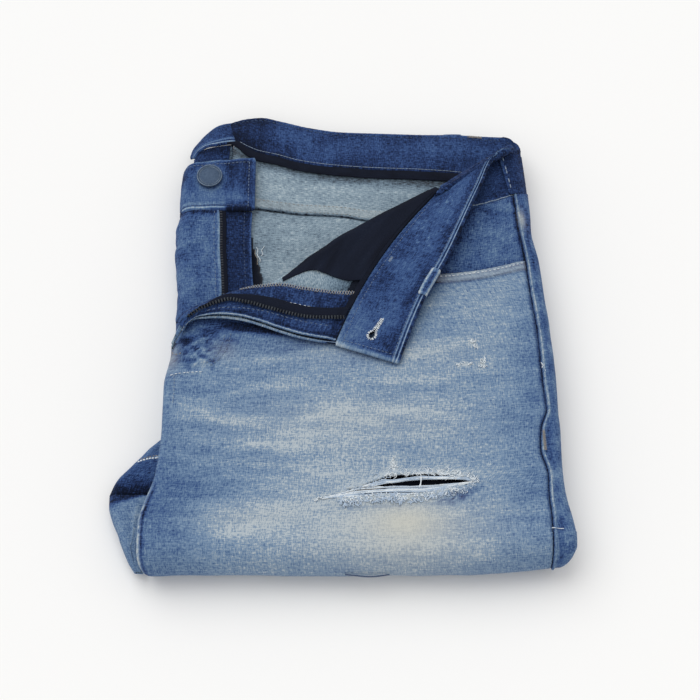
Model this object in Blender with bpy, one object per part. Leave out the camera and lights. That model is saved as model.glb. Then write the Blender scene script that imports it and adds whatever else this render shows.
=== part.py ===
"""Ripped jeans, folded in half along their length with the legs turned under, lying flat.

The wearer's left leg is on top. The fly is open and the corner of the left front is turned back over
the panel, so its wrong side, its facing and its pocket bag show. Millimetres in the tables, metres in
the meshes. X runs from the centre seams to the left outseam, Y from the leg fold to the waist.
"""

import bpy
import bmesh
import numpy as np
from mathutils import Matrix

MM = 0.001

# Cloth and gaps, in millimetres.
DENIM = 1.4
WAISTBAND = 3.0
FACING = 1.2
TAPE = 0.9
BAG = 1.0
SEAM_GAP = 0.5
LAYER_GAP = 0.35
ROLL_GAP = 1.15
TAPE_GAP = 0.8
BAG_GAP = 0.5

# The leg fold at the front of the pile, a half ellipse.
NOSE_Y = -150.0
NOSE_REACH = 18.0
NOSE_HALF_HEIGHT = 15.4
NOSE_ANGLES = (72.0, 48.0, 24.0, 0.0, -24.0, -48.0, -72.0)

# The upward turn of the lowest layer at the waist end.
BACK_TURN_Y = 132.0
BACK_TURN_RADIUS = 4.0
BACK_TURN_ANGLES = (-60.0, -30.0, 0.0, 30.0, 60.0, 84.0)
UNDERSIDE_ROWS = (-138.0, -70.0, 0.0, 70.0, BACK_TURN_Y)

# Rows of the left front: where they straighten, its upper corner at the left, and rows further down.
MEETING_Y = -45.0
CORNER_FOOT_Y = -15.5
MEETING_SHARES = (0.0, 0.28, 0.55, 0.78)
LOWER_ROWS = (MEETING_Y, -80.0, -112.0, -138.0, NOSE_Y)
SEAM_ROWS = (97.0, 74.0, 48.0, 20.0, -10.0, *LOWER_ROWS)
# How far each column of the left back's top row rises, to follow the waist seam round the side.
SEAM_RISE = (-0.4, 0.1, 0.8, 1.4, 3.9, 7.5, 11.0)
FOLD_SETBACK = 1.0

# Side rolls of the outer leg, radius and turn: at the top, the leg fold, the underside and its end.
RIGHT_ROLL = ((6.6, 180.0), (5.0, 180.0), (3.2, 180.0), (2.4, 80.0))
LEFT_ROLL = ((4.5, 180.0), (4.5, 180.0), (3.2, 180.0), (2.4, 80.0))

# Button and buttonhole.
BUTTON_CENTRE = (-88.0, 113.0, 24.8)
BUTTON_RADIUS = 8.6
BUTTON_PROFILE = (
    # share of the radius, height
    (0.0, 0.0),
    (0.84, 0.0),
    (0.96, 0.7),
    (1.0, 1.5),
    (0.96, 2.2),
    (0.86, 2.5),
    (0.76, 2.3),
    (0.7, 2.0),
    (0.35, 2.1),
    (0.0, 2.2),
)
BUTTONHOLE_ENDS = ((25.5, -2.5), (20.0, -12.0))
BUTTONHOLE_WIDTH = 3.2

# Height of the top layer along the garment.
TOP_HEIGHT = (
    # y, z
    (-150.0, 30.8),
    (-130.0, 30.6),
    (-60.0, 29.7),
    (0.0, 28.9),
    (45.0, 28.3),
    (110.0, 27.5),
)

# Outline of the upper layer, a row for each level: left edge, outseam, right edge.
TOP_OUTLINE = (
    # y, left, outseam, right
    (-150.0, -124.0, 129.0, 143.5),
    (-140.0, -124.0, 129.0, 142.0),
    (-125.0, -120.5, 128.0, 140.0),
    (-108.0, -115.0, 128.0, 138.5),
    (-90.0, -112.8, 124.0, 138.0),
    (-76.0, -112.0, 125.0, 138.0),
    (-62.0, -112.0, 129.0, 137.5),
    (-45.0, -112.0, 127.5, 137.0),
    (-20.0, -110.5, 126.5, 136.0),
    (0.0, -109.0, 125.0, 134.5),
    (26.0, -109.0, 122.0, 132.0),
    (48.0, -109.0, 120.0, 130.0),
    (68.0, -109.0, 117.0, 126.5),
    (98.0, -109.0, 114.0, 125.0),
)

# Outline round the leg fold and along the underside, in the order of the rows.
NOSE_OUTLINE = (
    # angle, left, outseam, right
    (72.0, -124.0, 129.0, 144.65),
    (48.0, -123.5, 129.0, 144.65),
    (24.0, -122.5, 128.8, 143.0),
    (0.0, -121.0, 128.5, 141.0),
    (-24.0, -119.5, 128.0, 138.5),
    (-48.0, -118.5, 127.5, 136.5),
    (-72.0, -118.0, 127.0, 135.5),
)
UNDERSIDE_OUTLINE = (
    # y, left, outseam, right
    (-138.0, -118.0, 127.0, 135.0),
    (-70.0, -115.5, 126.0, 133.0),
    (0.0, -113.5, 124.0, 131.0),
    (70.0, -112.0, 121.0, 127.0),
    (BACK_TURN_Y, -108.0, 117.0, 122.0),
)

# The fold of the turned-back corner, from the foot of the fly to the waist seam: free edge of the
# cloth, crest of the fold, radius of the roll, and how far across the facing, the zip tape and the
# pocket bag reach (0 at the free edge, 1 at the top of the roll, 2 under it).
FOLD_ROWS = (
    # edge x, y, z, fold x, y, roll, facing to, tape from, tape to, bag from
    (-107.0, -19.0, 31.2, -109.0, -12.5, 2.6, 1.40, 0.60, 1.00, 1.30),
    (-102.0, -6.0, 31.8, -101.5, 1.0, 3.0, 1.50, 0.70, 1.20, 1.30),
    (-94.0, 0.0, 32.6, -89.0, 9.5, 3.6, 1.50, 0.90, 1.40, 1.30),
    (-80.0, 1.0, 33.4, -76.0, 15.5, 4.0, 1.45, 0.90, 1.35, 1.20),
    (-64.0, -1.0, 34.0, -62.0, 20.5, 4.2, 1.25, 0.62, 1.10, 1.10),
    (-51.0, -5.0, 34.0, -46.0, 26.5, 4.2, 1.00, 0.40, 0.82, 1.00),
    (-38.0, -10.0, 34.0, -25.0, 41.0, 4.2, 0.66, 0.25, 0.50, 0.87),
    (-25.0, -14.0, 33.6, -4.0, 58.5, 4.2, 0.48, 0.19, 0.36, 0.64),
    (-12.0, -16.5, 33.2, 25.0, 77.0, 4.2, 0.37, 0.165, 0.29, 0.46),
    (-3.0, -17.5, 33.0, 64.0, 100.5, 4.2, 0.29, 0.14, 0.24, 0.36),
)
FOLD_BOW = (0, 0, 0, 0, 0, 0, 0, 1.0, 3.0, 7.0)
ROLL_STEPS = (1.0, 1.25, 1.5, 1.75, 2.0)

# Where the pieces on the turned-back corner lie along the fold, as places between its rows.
FACING_PLACES = (0.4, 1, 2, 3, 4, 5, 6, 7, 8, 8.45)
FACING_START = 0.05
TAPE_PLACES = (2.0, 3, 4, 5, 6, 7, 8, 8.4)
BAG_PLACES = (5.35, 6, 7, 8, 8.5)
BINDING_SHARES = (0.2, 0.4, 0.6, 0.8, 1.0, 1.25, 1.5)
BINDING_INNER = (8.56, 8.82)
BINDING_OUTER = 8.96
WAIST_SETBACK = 0.012

# The hidden front pocket: where its opening leaves the fold and reaches the outseam.
POCKET_OPENING = (
    # x, y
    (36.0, 69.0),
    (43.0, 54.0),
    (52.0, 42.0),
    (66.0, 35.5),
    (85.0, 37.5),
    (104.0, 41.5),
    (119.5, 46.0),
)

# The facing of that pocket: its foot along the opening, its top along the waist seam, and how deep its
# rows lie under the front.
FACING_FOOT_START = (40.5, 60.0)
FACING_TOP = ((42.5, 79.0), (60.0, 91.2), (74.0, 93.4), (86.5, 87.2), (103.0, 91.6), (113.6, 96.3))
FACING_ROWS = ((-0.12, 1.9), (0.02, 1.9), (0.2, 0.8), (0.5, 0.0), (1.0, 0.0))
FACING_SETBACK = 0.4

# The pocket bag under the rip.
BAG_X = (-44.0, 108.0)
BAG_Y = (-140.0, -118.0, -92.0)
BAG_DEPTH = 2.2

# The waistband of the left front, wrong side: its outer edge on the turned-back corner, and the rows
# from the fold round the side to the back.
FLAP_OUTER_EDGE = (
    # share of the length, x, y, z
    (0.0, 36.0, -31.0, 34.2),
    (0.2, 46.0, -3.0, 39.0),
    (0.4, 55.0, 18.0, 42.0),
    (0.6, 67.0, 40.0, 43.8),
    (0.8, 84.0, 80.0, 42.6),
    (1.0, 114.5, 132.6, 31.9),
)
FLAP_SHARES = (0.0, 0.2, 0.4, 0.6, 0.8)
WAISTBAND_ROLL = (5.3, 4.2)
WAISTBAND_ROLL_ANGLES = (90.0, 50.0, 10.0, -30.0, -65.0)
WAISTBAND_OFFSET = np.array([0.35, -0.25, 0.4])
SIDE_ROWS = (
    # seam x, y, z, top edge x, y, z
    (69.2, 97.8, 24.8, 114.5, 132.6, 23.5),
    (86.0, 88.0, 24.9, 116.0, 132.8, 23.1),
    (101.0, 92.0, 24.5, 117.2, 133.8, 22.5),
    (111.5, 96.5, 23.4, 118.1, 135.0, 21.5),
    (118.5, 99.5, 21.2, 118.8, 137.0, 20.2),
    (121.3, 103.0, 18.7, 118.6, 140.0, 18.4),
    (120.0, 108.0, 16.8, 117.3, 145.0, 16.8),
    (115.5, 112.0, 16.0, 114.0, 149.5, 16.0),
)

# Belt loops: the back one, and the front one as shares of the turned-back waistband's length with how
# far it reaches past its edge.
LOOP_BACK_X = (70.0, 82.0)
LOOP_BACK_ROWS = ((147.5, 11.9), (152.0, 11.5), (156.2, 11.3))
LOOP_FRONT_SHARES = (0.36, 0.42, 0.50, 0.56)
LOOP_FRONT_REACH = (-7.0, 0.0, 2.6)
LOOP_SIDE_ROWS = slice(-6, -3)

# The inside of the back waistband, a row for each place along it from the side to the turn.
BACK_ROWS = (
    # seam x, y, z, top edge x, y, z
    (113.6, 113.0, 16.4, 112.0, 150.0, 16.2),
    (96.0, 118.0, 17.0, 95.0, 151.0, 16.0),
    (78.0, 121.0, 17.5, 76.0, 153.0, 15.0),
    (50.0, 123.0, 18.0, 50.0, 154.0, 14.0),
    (24.0, 124.0, 18.0, 24.0, 155.0, 14.0),
    (-2.0, 126.0, 18.0, 0.0, 156.0, 14.0),
    (-28.0, 130.0, 18.0, -22.0, 159.5, 14.0),
    (-44.0, 135.0, 18.0, -42.0, 165.0, 14.0),
    (-56.0, 138.0, 18.0, -55.0, 168.0, 14.0),
    (-63.0, 141.5, 18.0, -65.0, 167.0, 14.0),
    (-71.0, 147.0, 17.8, -75.0, 164.0, 14.0),
)
BACK_TAPE_WIDTH = 6.5
BAND_CROWN = 0.4

# The right back where it turns over at the far corner, outside up.
TURN_ROWS = (
    # seam x, y, z, top edge x, y, z
    (-73.5, 145.4, 17.4, -76.6, 163.2, 13.6),
    (-81.0, 145.0, 17.0, -86.0, 161.0, 12.6),
    (-87.0, 145.0, 16.6, -91.5, 157.0, 12.0),
    (-92.0, 144.0, 16.0, -96.5, 151.5, 11.4),
    (-97.0, 141.0, 15.2, -100.5, 146.0, 10.8),
    (-100.6, 136.5, 14.0, -103.0, 138.5, 10.2),
)
YOKE_RIGHT_SETBACK = 2.2
YOKE_RIGHT_FOOT_Y = 118.0
YOKE_SEAM = (
    # x, y
    (-79.0, 96.5),
    (-61.0, 94.0),
    (-41.0, 91.0),
    (-27.0, 89.0),
    (-10.0, 88.0),
    (2.0, 87.0),
    (19.0, 84.0),
    (60.0, 82.0),
    (96.0, 90.0),
    (117.5, 99.0),
)
SEAT_FOOT = (
    # x, y
    (-79.0, 14.4),
    (-40.0, 16.0),
    (0.0, 36.0),
    (40.0, 50.0),
    (119.5, 66.0),
)
INSIDE_HEIGHT = 16.5
YOKE_SHARES = (0.0, 0.35, 0.7, 1.0)
YOKE_CORNER_Y = 143.6
YOKE_DROP = 0.3
SEAT_SHARES = (0.0, 0.33, 0.67, 1.0)
SEAT_DROP = (0.2, 0.7)
INSIDE_X = (-78.0, -61.0, -41.0, -27.0, -10.0, 2.0, 19.0, 50.0, 78.0, 96.0, 114.5)
YOKE_UNDER_TAPE = 1.8

# Right front: its cloth comes round the left side, outside up.
RIGHT_FRONT_ROWS = (
    # y, zip line, left edge, top z
    (87.6, -81.2, -107.5, 23.8),
    (76.0, -80.6, -109.8, 23.4),
    (60.0, -80.2, -110.0, 23.2),
    (46.0, -79.2, -108.6, 23.0),
    (30.0, -78.2, -107.4, 22.8),
    (10.0, -77.4, -107.0, 22.6),
    (-14.0, -77.0, -107.6, 22.4),
)
RIGHT_FRONT_END = 17.0
RIGHT_FRONT_DROOP = 0.5
SHIELD_ROWS = (88.4, 74.0, 60.0, 46.0, 30.0, 10.0, -12.0)
SHIELD_SINK = (0.0, 0.1, 0.3, 0.8, 1.6)
SHIELD_EDGE = (
    # y, x
    (88.8, -59.5),
    (74.0, -60.0),
    (48.0, -59.0),
    (20.0, -57.0),
    (-12.0, -57.0),
)
BUTTON_END_ROWS = (
    # y at the left, rise to the right end, left edge, top z
    (88.2, 1.6, -108.0, 24.2),
    (97.0, 2.4, -108.2, 24.5),
    (106.0, 3.4, -107.8, 24.6),
    (115.0, 4.4, -107.4, 24.5),
    (122.0, 5.6, -106.6, 24.2),
    (124.2, 5.8, -105.6, 23.8),
)
BUTTON_END_RIGHT = -58.5
BUTTON_END_UNDER = 15.0
BUTTON_END_DROOP = 2.0
SIDE_TURN = 9.0
LOWEST_INNER = 1.9

# The seat's point at the left: cloth that comes round from the back legs.
CROTCH_UPPER_ROWS = (
    # y, inner x, left edge, top z, low z
    (-74.5, -105.0, -112.5, 14.2, 7.6),
    (-80.0, -105.0, -118.5, 14.6, 7.4),
    (-88.0, -105.0, -126.0, 15.0, 3.0),
    (-98.0, -105.0, -135.5, 15.0, 2.0),
    (-106.0, -105.0, -141.4, 14.4, 1.6),
    (-112.8, -105.0, -144.2, 12.6, 1.2),
)
CROTCH_LOWER_ROWS = (
    # y, inner x, left edge, top z, low z
    (-113.8, -105.0, -144.4, 12.4, 1.2),
    (-121.0, -105.0, -144.0, 14.6, 1.2),
    (-130.0, -108.0, -141.5, 15.6, 1.2),
    (-141.0, -118.0, -137.0, 15.4, 1.4),
    (-150.0, -125.6, -133.0, 13.8, 2.0),
    (-157.0, -125.6, -129.6, 11.6, 4.0),
)
CROTCH_CLOTH = 1.6
CROTCH_LOW_END = -121.0
CROTCH_TURN = 6.0
CROTCH_LAYER_ROWS = (-97.0, -101.0, -106.0, -112.8, -113.8, -121.0, -130.0, -140.0)
CROTCH_STEP_Z = 7.2

# The rip across the thigh, its outline in order.
RIP_OUTLINE = (
    # x, y
    (-14.0, -122.5),
    (0.0, -119.5),
    (14.0, -115.0),
    (30.0, -109.8),
    (50.0, -109.2),
    (70.0, -111.0),
    (84.0, -113.8),
    (76.0, -117.4),
    (60.0, -121.4),
    (38.0, -125.0),
    (12.0, -126.2),
)

RIP_CUT_HEIGHTS = (25.5, 34.0)
BUTTONHOLE_CUT_HEIGHTS = (29.0, 40.0)

# The hidden layers, a row for each section. Heights: the lowest and the highest faces at the middle
# and at the left, then the layered edges of the right side and of the left side.
CORE_ROWS = (
    # y, left, right, low, middle, left top, right edges from, to, left edges from, to, left foot
    (-164.0, -98.0, 113.0, 9.2, 21.6, 21.2, 11.0, 14.6, 11.0, 17.0, 10.0),
    (-159.0, -102.0, 122.0, 5.6, 25.8, 25.4, 8.4, 14.6, 9.0, 18.0, 7.0),
    (-150.0, -104.4, 129.0, 2.6, 28.4, 28.0, 6.8, 14.6, 6.8, 18.5, 4.0),
    (-145.0, -104.4, 129.4, 1.9, 28.4, 28.0, 6.8, 14.6, 6.8, 18.6, 4.0),
    (-141.0, -104.4, 129.8, 1.9, 25.2, 25.2, 6.8, 14.6, 6.8, 18.6, 4.0),
    (-137.0, -104.4, 134.8, 1.9, 25.2, 25.2, 6.8, 14.6, 6.8, 18.7, 4.0),
    (-110.0, -104.4, 137.0, 1.9, 25.1, 25.1, 6.8, 14.8, 6.8, 18.8, 4.0),
    (-91.2, -104.4, 136.6, 1.9, 24.8, 24.8, 6.8, 14.8, 6.8, 19.0, 4.0),
    (-87.0, -104.4, 136.4, 1.9, 28.0, 27.6, 6.8, 14.8, 6.8, 19.1, 4.0),
    (-76.0, -104.4, 136.2, 1.9, 28.0, 27.6, 6.8, 14.8, 6.8, 19.2, 4.0),
    (-45.0, -109.0, 135.4, 1.9, 27.4, 27.0, 6.8, 14.6, 6.8, 19.4, 4.0),
    (-26.0, -108.4, 134.8, 1.9, 24.0, 24.0, 6.8, 14.4, 6.8, 19.0, 4.0),
    (-19.0, -108.0, 134.4, 1.9, 18.4, 19.6, 6.8, 14.2, 6.8, 18.6, 4.0),
    (-15.5, -104.8, 134.0, 1.9, 16.8, 19.2, 6.8, 13.8, 4.2, 18.6, 4.0),
    (14.0, -104.8, 131.8, 1.9, 13.8, 19.2, 6.8, 13.4, 4.2, 18.6, 4.0),
    (32.0, -104.8, 130.6, 1.9, 13.9, 19.4, 6.8, 13.6, 4.2, 18.8, 4.0),
    (60.0, -107.0, 127.0, 1.9, 14.0, 19.6, 6.8, 13.6, 4.2, 19.0, 4.0),
    (87.0, -104.4, 124.0, 1.9, 14.0, 19.2, 6.8, 13.2, 5.8, 18.6, 5.4),
    (111.0, -103.2, 120.6, 1.9, 13.6, 18.6, 6.6, 12.4, 5.8, 18.2, 5.4),
    (116.0, -102.8, 119.6, 1.9, 13.5, 13.9, 6.4, 12.2, 5.8, 13.3, 5.4),
    (124.0, -101.0, 117.6, 1.9, 13.0, 13.3, 6.2, 12.0, 5.8, 12.9, 5.4),
    (129.6, -99.0, 116.6, 8.6, 12.4, 12.4, 9.2, 11.6, 9.0, 11.8, 8.8),
    (142.0, -92.0, 112.0, 8.6, 10.8, 10.4, 8.9, 10.3, 8.9, 10.0, 8.8),
)
LAYER_EDGES = 3
LAYER_EDGE_DEPTH = 2.2
ROUND_SIDE_DEPTH = 8.0
WRAPPED_Y = (-16.0, 128.0)


def clear_scene():
    for old in list(bpy.data.objects):
        bpy.data.objects.remove(old, do_unlink=True)


def material(name, colour, roughness, metallic=0.0):
    made = bpy.data.materials.new(name)
    made.use_nodes = True
    shader = made.node_tree.nodes["Principled BSDF"]
    shader.inputs["Base Color"].default_value = (*colour, 1.0)
    shader.inputs["Roughness"].default_value = roughness
    shader.inputs["Metallic"].default_value = metallic
    return made


def faded_denim():
    return material("faded_denim", (0.16, 0.25, 0.38), 0.9)


def deep_denim():
    return material("deep_denim", (0.035, 0.075, 0.2), 0.88)


def wrong_side_denim():
    return material("wrong_side_denim", (0.36, 0.45, 0.52), 0.92)


def black_cotton():
    return material("black_cotton", (0.006, 0.008, 0.016), 0.85)


def button_metal():
    return material("button_metal", (0.16, 0.19, 0.26), 0.4, 0.85)


def at(table, x, column=1):
    """The value of a table's column where its first column passes x."""
    rows = np.array(table, float)
    rows = rows[np.argsort(rows[:, 0])]
    return np.interp(x, rows[:, 0], rows[:, column])


def unit(v):
    return v / np.linalg.norm(v, axis=-1, keepdims=True)


def normals(grid):
    """The upward normal of a grid of points, rows by columns."""
    along = np.gradient(grid, axis=0)
    across = np.gradient(grid, axis=1)
    return unit(np.cross(across, along))


def moved_out(grid, distance):
    return grid + normals(grid) * distance


def mesh_object(name, points, faces, skin):
    mesh = bpy.data.meshes.new(name)
    mesh.from_pydata([tuple(p) for p in np.asarray(points) * MM], [], faces)
    mesh.materials.append(skin)
    mesh.validate()
    made = bpy.data.objects.new(name, mesh)
    bpy.context.scene.collection.objects.link(made)
    return made


def wall(name, grid, thickness, skin):
    """A cloth wall: the grid is its outer face, and the cloth lies behind it."""
    rows, columns = grid.shape[:2]
    corner = np.arange(rows * columns).reshape(rows, columns)
    quads = np.stack([corner[:-1, :-1], corner[:-1, 1:], corner[1:, 1:], corner[1:, :-1]], axis=-1)
    made = mesh_object(name, grid.reshape(-1, 3), quads.reshape(-1, 4).tolist(), skin)
    solid = made.modifiers.new("Wall", "SOLIDIFY")
    solid.thickness = thickness * MM
    solid.offset = -1.0
    solid.use_even_offset = True
    return made


def cut(target, outline, heights):
    """Cuts a straight-sided hole through the target, from an outline in plan."""
    low, high = heights
    ring = [(x, y, low) for x, y in outline] + [(x, y, high) for x, y in outline]
    n = len(outline)
    sides = [(i, (i + 1) % n, n + (i + 1) % n, n + i) for i in range(n)]
    cutter = mesh_object(target.name + "_cutter", ring, [*sides, tuple(range(n))[::-1], tuple(range(n, 2 * n))],
                         target.data.materials[0])
    bm = bmesh.new()
    bm.from_mesh(cutter.data)
    bmesh.ops.recalc_face_normals(bm, faces=bm.faces)
    bm.to_mesh(cutter.data)
    bm.free()
    cutter.hide_render = True
    cutter.display_type = "WIRE"
    hole = target.modifiers.new("Hole", "BOOLEAN")
    hole.operation = "DIFFERENCE"
    hole.object = cutter


def side_roll(radius, turn, count):
    """Inward depth and sideways reach of a side roll, from the top of the roll to its far end."""
    angle = np.radians(np.linspace(0.0, turn, count))
    return radius * (1 - np.cos(angle)), radius * np.sin(angle)


def wrap_rows(north):
    """Rows of the outer leg: place, outward direction, outline and roll radii, from the waist down,
    round the leg fold, back along the underside and up at the waist end."""
    rows = []
    for y in north:
        outline = [at(TOP_OUTLINE, y, c) for c in (1, 2, 3)]
        rows.append(((y, at(TOP_HEIGHT, y)), (0.0, 1.0), outline, 0))
    for angle in NOSE_ANGLES:
        a = np.radians(angle)
        place = (NOSE_Y - NOSE_REACH * np.cos(a), NOSE_HALF_HEIGHT * (1 + np.sin(a)))
        out = unit(np.array([-np.cos(a) / NOSE_REACH, np.sin(a) / NOSE_HALF_HEIGHT]))
        rows.append((place, tuple(out), [at(NOSE_OUTLINE, angle, c) for c in (1, 2, 3)], 1))
    for y in UNDERSIDE_ROWS:
        rows.append(((y, 0.0), (0.0, -1.0), [at(UNDERSIDE_OUTLINE, y, c) for c in (1, 2, 3)], 2))
    for angle in BACK_TURN_ANGLES:
        a = np.radians(angle)
        out = (np.cos(a), np.sin(a))
        place = (BACK_TURN_Y + BACK_TURN_RADIUS * out[0], BACK_TURN_RADIUS * (1 + out[1]))
        rows.append((place, out, [at(UNDERSIDE_OUTLINE, BACK_TURN_Y, c) for c in (1, 2, 3)], 3))
    return rows


def place_row(row, x, depth):
    """Points of one row of the outer leg, at x and at a depth inward of its face."""
    (y, z), (out_y, out_z) = row[:2]
    depth = np.asarray(depth) + np.zeros_like(x)
    return np.stack([x, y - out_y * depth, z - out_z * depth], axis=-1)


def fold_frame(s):
    """Free edge, foot of the roll, outward direction, radius and bow of the turned-back corner at s."""
    rows = np.array(FOLD_ROWS)
    index = np.arange(len(rows))
    edge = np.stack([np.interp(s, index, rows[:, c]) for c in (0, 1, 2)], axis=-1)
    crest = np.stack([np.interp(s, index, rows[:, c]) for c in (3, 4)], axis=-1)
    run = np.gradient(rows[:, 3:5], axis=0)
    out = unit(np.stack([-run[:, 1], run[:, 0]], axis=-1))
    out = unit(np.stack([np.interp(s, index, out[:, c]) for c in (0, 1)], axis=-1))
    radius = np.interp(s, index, rows[:, 5])[..., None]
    bow = np.interp(s, index, FOLD_BOW)[..., None]
    return edge, crest - out * radius, out, radius, bow


def corner_surface(s, t):
    """Wrong side of the turned-back panel. s runs along the fold, t from the free edge to the roll
    (0 to 1) and round it to the lower layer (1 to 2)."""
    s, t = np.broadcast_arrays(np.asarray(s, float), np.asarray(t, float))
    edge, foot, out, radius, bow = fold_frame(s)
    low = at(TOP_HEIGHT, foot[..., 1])[..., None] - DENIM
    f = np.clip(t, 0, 1)[..., None]
    top = np.concatenate([foot, low + 2 * radius], axis=-1)
    across = unit(foot - edge[..., :2])
    side = np.stack([-across[..., 1], across[..., 0]], axis=-1)
    flat = edge + (top - edge) * f
    flat[..., 2:] = edge[..., 2:] + (top - edge)[..., 2:] * (1 - (1 - f) ** 2)
    flat[..., :2] += side * bow * 4 * f * (1 - f)
    angle = np.radians(90.0 - 180.0 * (np.clip(t, 1, 2) - 1))[..., None]
    rolled = np.concatenate([foot + out * radius * np.cos(angle), low + radius * (1 + np.sin(angle))], axis=-1)
    return np.where(t[..., None] <= 1, flat, rolled)


def corner_grid(places, columns):
    """A grid on the turned-back panel: places along the fold, columns(place) across it."""
    return np.array([corner_surface(np.full(len(columns(s)), s), columns(s)) for s in places])


def over_roll(low, high, steps):
    """Shares from low to high, with one at the top of the roll where they pass it."""
    if high <= 1.0:
        return np.linspace(low, high, steps + 2)
    return np.concatenate([np.linspace(low, 1.0, steps), [(1.0 + high) / 2, high]])


def fold_share(s, column):
    rows = np.array(FOLD_ROWS)
    return np.interp(s, np.arange(len(rows)), rows[:, column])


def left_rolled(row, count):
    """Points round the left side roll of a row, from its far end up to the top."""
    radius, turn = LEFT_ROLL[row[3]]
    depth, reach = side_roll(radius, turn, count)
    return place_row(row, row[2][0] + radius - reach[::-1], depth[::-1])


def left_front(skin):
    """The left front from the fold to the outseam, over the leg fold and along the underside."""
    _, foot, out, _, _ = fold_frame(np.arange(1.0, len(FOLD_ROWS) - 1))
    north = np.vstack([foot - out * FOLD_SETBACK, np.array(POCKET_OPENING)])
    north[-1, 0] = at(TOP_OUTLINE, north[-1, 1], 2)
    shares = np.linspace(0.045, 1.0, len(north))
    low_left, low_seam = at(TOP_OUTLINE, MEETING_Y, 1), at(TOP_OUTLINE, MEETING_Y, 2)
    low_x = low_left + (low_seam - low_left) * shares
    grid = []
    for f in MEETING_SHARES:
        row = wrap_rows([CORNER_FOOT_Y + (MEETING_Y - CORNER_FOOT_Y) * f])[0]
        x = north[:, 0] + (low_x - north[:, 0]) * f
        y = north[:, 1] + (MEETING_Y - north[:, 1]) * f
        x[-1] = at(TOP_OUTLINE, y[-1], 2)
        grid.append(np.vstack([left_rolled(row, 4), np.stack([x, y, at(TOP_HEIGHT, y)], axis=-1)]))
    for row in wrap_rows(LOWER_ROWS):
        left, seam, _ = row[2]
        grid.append(np.vstack([left_rolled(row, 4), place_row(row, left + (seam - left) * shares, 0.0)]))
    made = wall("left_front", np.array(grid)[:, ::-1], DENIM, skin)
    cut(made, RIP_OUTLINE, RIP_CUT_HEIGHTS)
    return made


def left_back(skin):
    """The left back from the outseam round the right side, along the same rows."""
    grid = []
    for row in wrap_rows(SEAM_ROWS):
        _, seam, right = row[2]
        radius, turn = RIGHT_ROLL[row[3]]
        depth, reach = side_roll(radius, turn, len(SEAM_RISE) - 1)
        x = np.concatenate([[seam + SEAM_GAP], right - radius + reach])
        grid.append(place_row(row, x, np.concatenate([[0.0], depth])))
    grid = np.array(grid)
    grid[0, :, 1] += np.array(SEAM_RISE)
    return wall("left_back", grid[:, ::-1], DENIM, skin)


def left_front_corner(skin):
    """The turned-back corner of the left front, wrong side up, with the roll of its fold."""
    places = np.arange(len(FOLD_ROWS), dtype=float)
    places[-1] -= WAIST_SETBACK
    columns = np.array([0.0, 0.2, 0.4, 0.6, 0.8, *ROLL_STEPS])
    return wall("left_front_corner", corner_grid(places, lambda s: columns)[::-1], DENIM, skin)


def fly_facing(skin):
    """The facing of the open fly, along the free edge of the turned-back corner."""
    grid = corner_grid(FACING_PLACES, lambda s: over_roll(FACING_START, fold_share(s, 6), 4))
    return wall("fly_facing", moved_out(grid[::-1], FACING + ROLL_GAP), FACING, skin)


def zip_tape_left(skin):
    grid = corner_grid(TAPE_PLACES, lambda s: over_roll(fold_share(s, 7), fold_share(s, 8), 3))
    return wall("zip_tape_left", moved_out(grid[::-1], FACING + TAPE + ROLL_GAP + TAPE_GAP), TAPE, skin)


def pocket_bag_upper(skin):
    """The pocket bag where it lies on the turned-back corner."""
    shares = np.array([0.0, 0.3, 0.6, 1.0])

    def columns(s):
        low = fold_share(s, 9)
        return np.concatenate([low + (1.0 - low) * shares, ROLL_STEPS[1:4]])

    return wall("pocket_bag_upper", moved_out(corner_grid(BAG_PLACES, columns)[::-1], BAG + BAG_GAP), BAG, skin)


def waistband_tape_front(skin):
    """The binding along the waist seam of the turned-back corner."""
    first, last = BINDING_INNER
    grid = []
    for t in BINDING_SHARES:
        inner = first + (last - first) * min(t, 1.0)
        grid.append(corner_surface(np.linspace(inner, BINDING_OUTER, 3), np.full(3, t)))
    grid = np.array(grid).transpose(1, 0, 2)
    return wall("waistband_tape_front", moved_out(grid[::-1], TAPE + LAYER_GAP), TAPE, skin)


def waistband_left_grid():
    """Wrong side of the left waistband: rows from the buttonhole end over the fold and round the side,
    columns from the seam to the top edge."""
    across = np.linspace(0.0, 1.0, 5)
    rows = []
    last = len(FOLD_ROWS) - 1.0
    for q in FLAP_SHARES:
        seam = corner_surface(last, q) + WAISTBAND_OFFSET
        top = np.array([at(FLAP_OUTER_EDGE, q, c) for c in (1, 2, 3)])
        rows.append(seam + (top - seam) * across[:, None])
    side = np.array(SIDE_ROWS)
    foot = side[0, :3] + (side[0, 3:] - side[0, :3]) * across[:, None]
    run = side[0, 3:5] - side[0, :2]
    out = unit(np.array([-run[1], run[0]]))
    radius = WAISTBAND_ROLL[0] + (WAISTBAND_ROLL[1] - WAISTBAND_ROLL[0]) * across
    for angle in np.radians(WAISTBAND_ROLL_ANGLES):
        reach = (radius * np.cos(angle))[:, None] * np.array([out[0], out[1], 0.0])
        rise = (radius * (1 + np.sin(angle)))[:, None] * np.array([0.0, 0.0, 1.0])
        rows.append(foot + reach + rise)
    for row in side:
        rows.append(row[:3] + (row[3:] - row[:3]) * across[:, None])
    return np.array(rows)


def waistband_left(skin):
    made = wall("waistband_left", waistband_left_grid(), WAISTBAND, skin)
    (x0, y0), (x1, y1) = BUTTONHOLE_ENDS
    along = unit(np.array([x1 - x0, y1 - y0]))
    side = np.array([-along[1], along[0]]) * BUTTONHOLE_WIDTH / 2
    a, b = np.array([x0, y0]), np.array([x1, y1])
    eye = b + along * BUTTONHOLE_WIDTH
    slot, wide = side * 0.5, side * 1.2
    outline = [a - slot, b - slot, b - wide + along, eye, b + wide + along, b + slot, a + slot]
    cut(made, [tuple(p) for p in outline], BUTTONHOLE_CUT_HEIGHTS)
    return made


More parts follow.
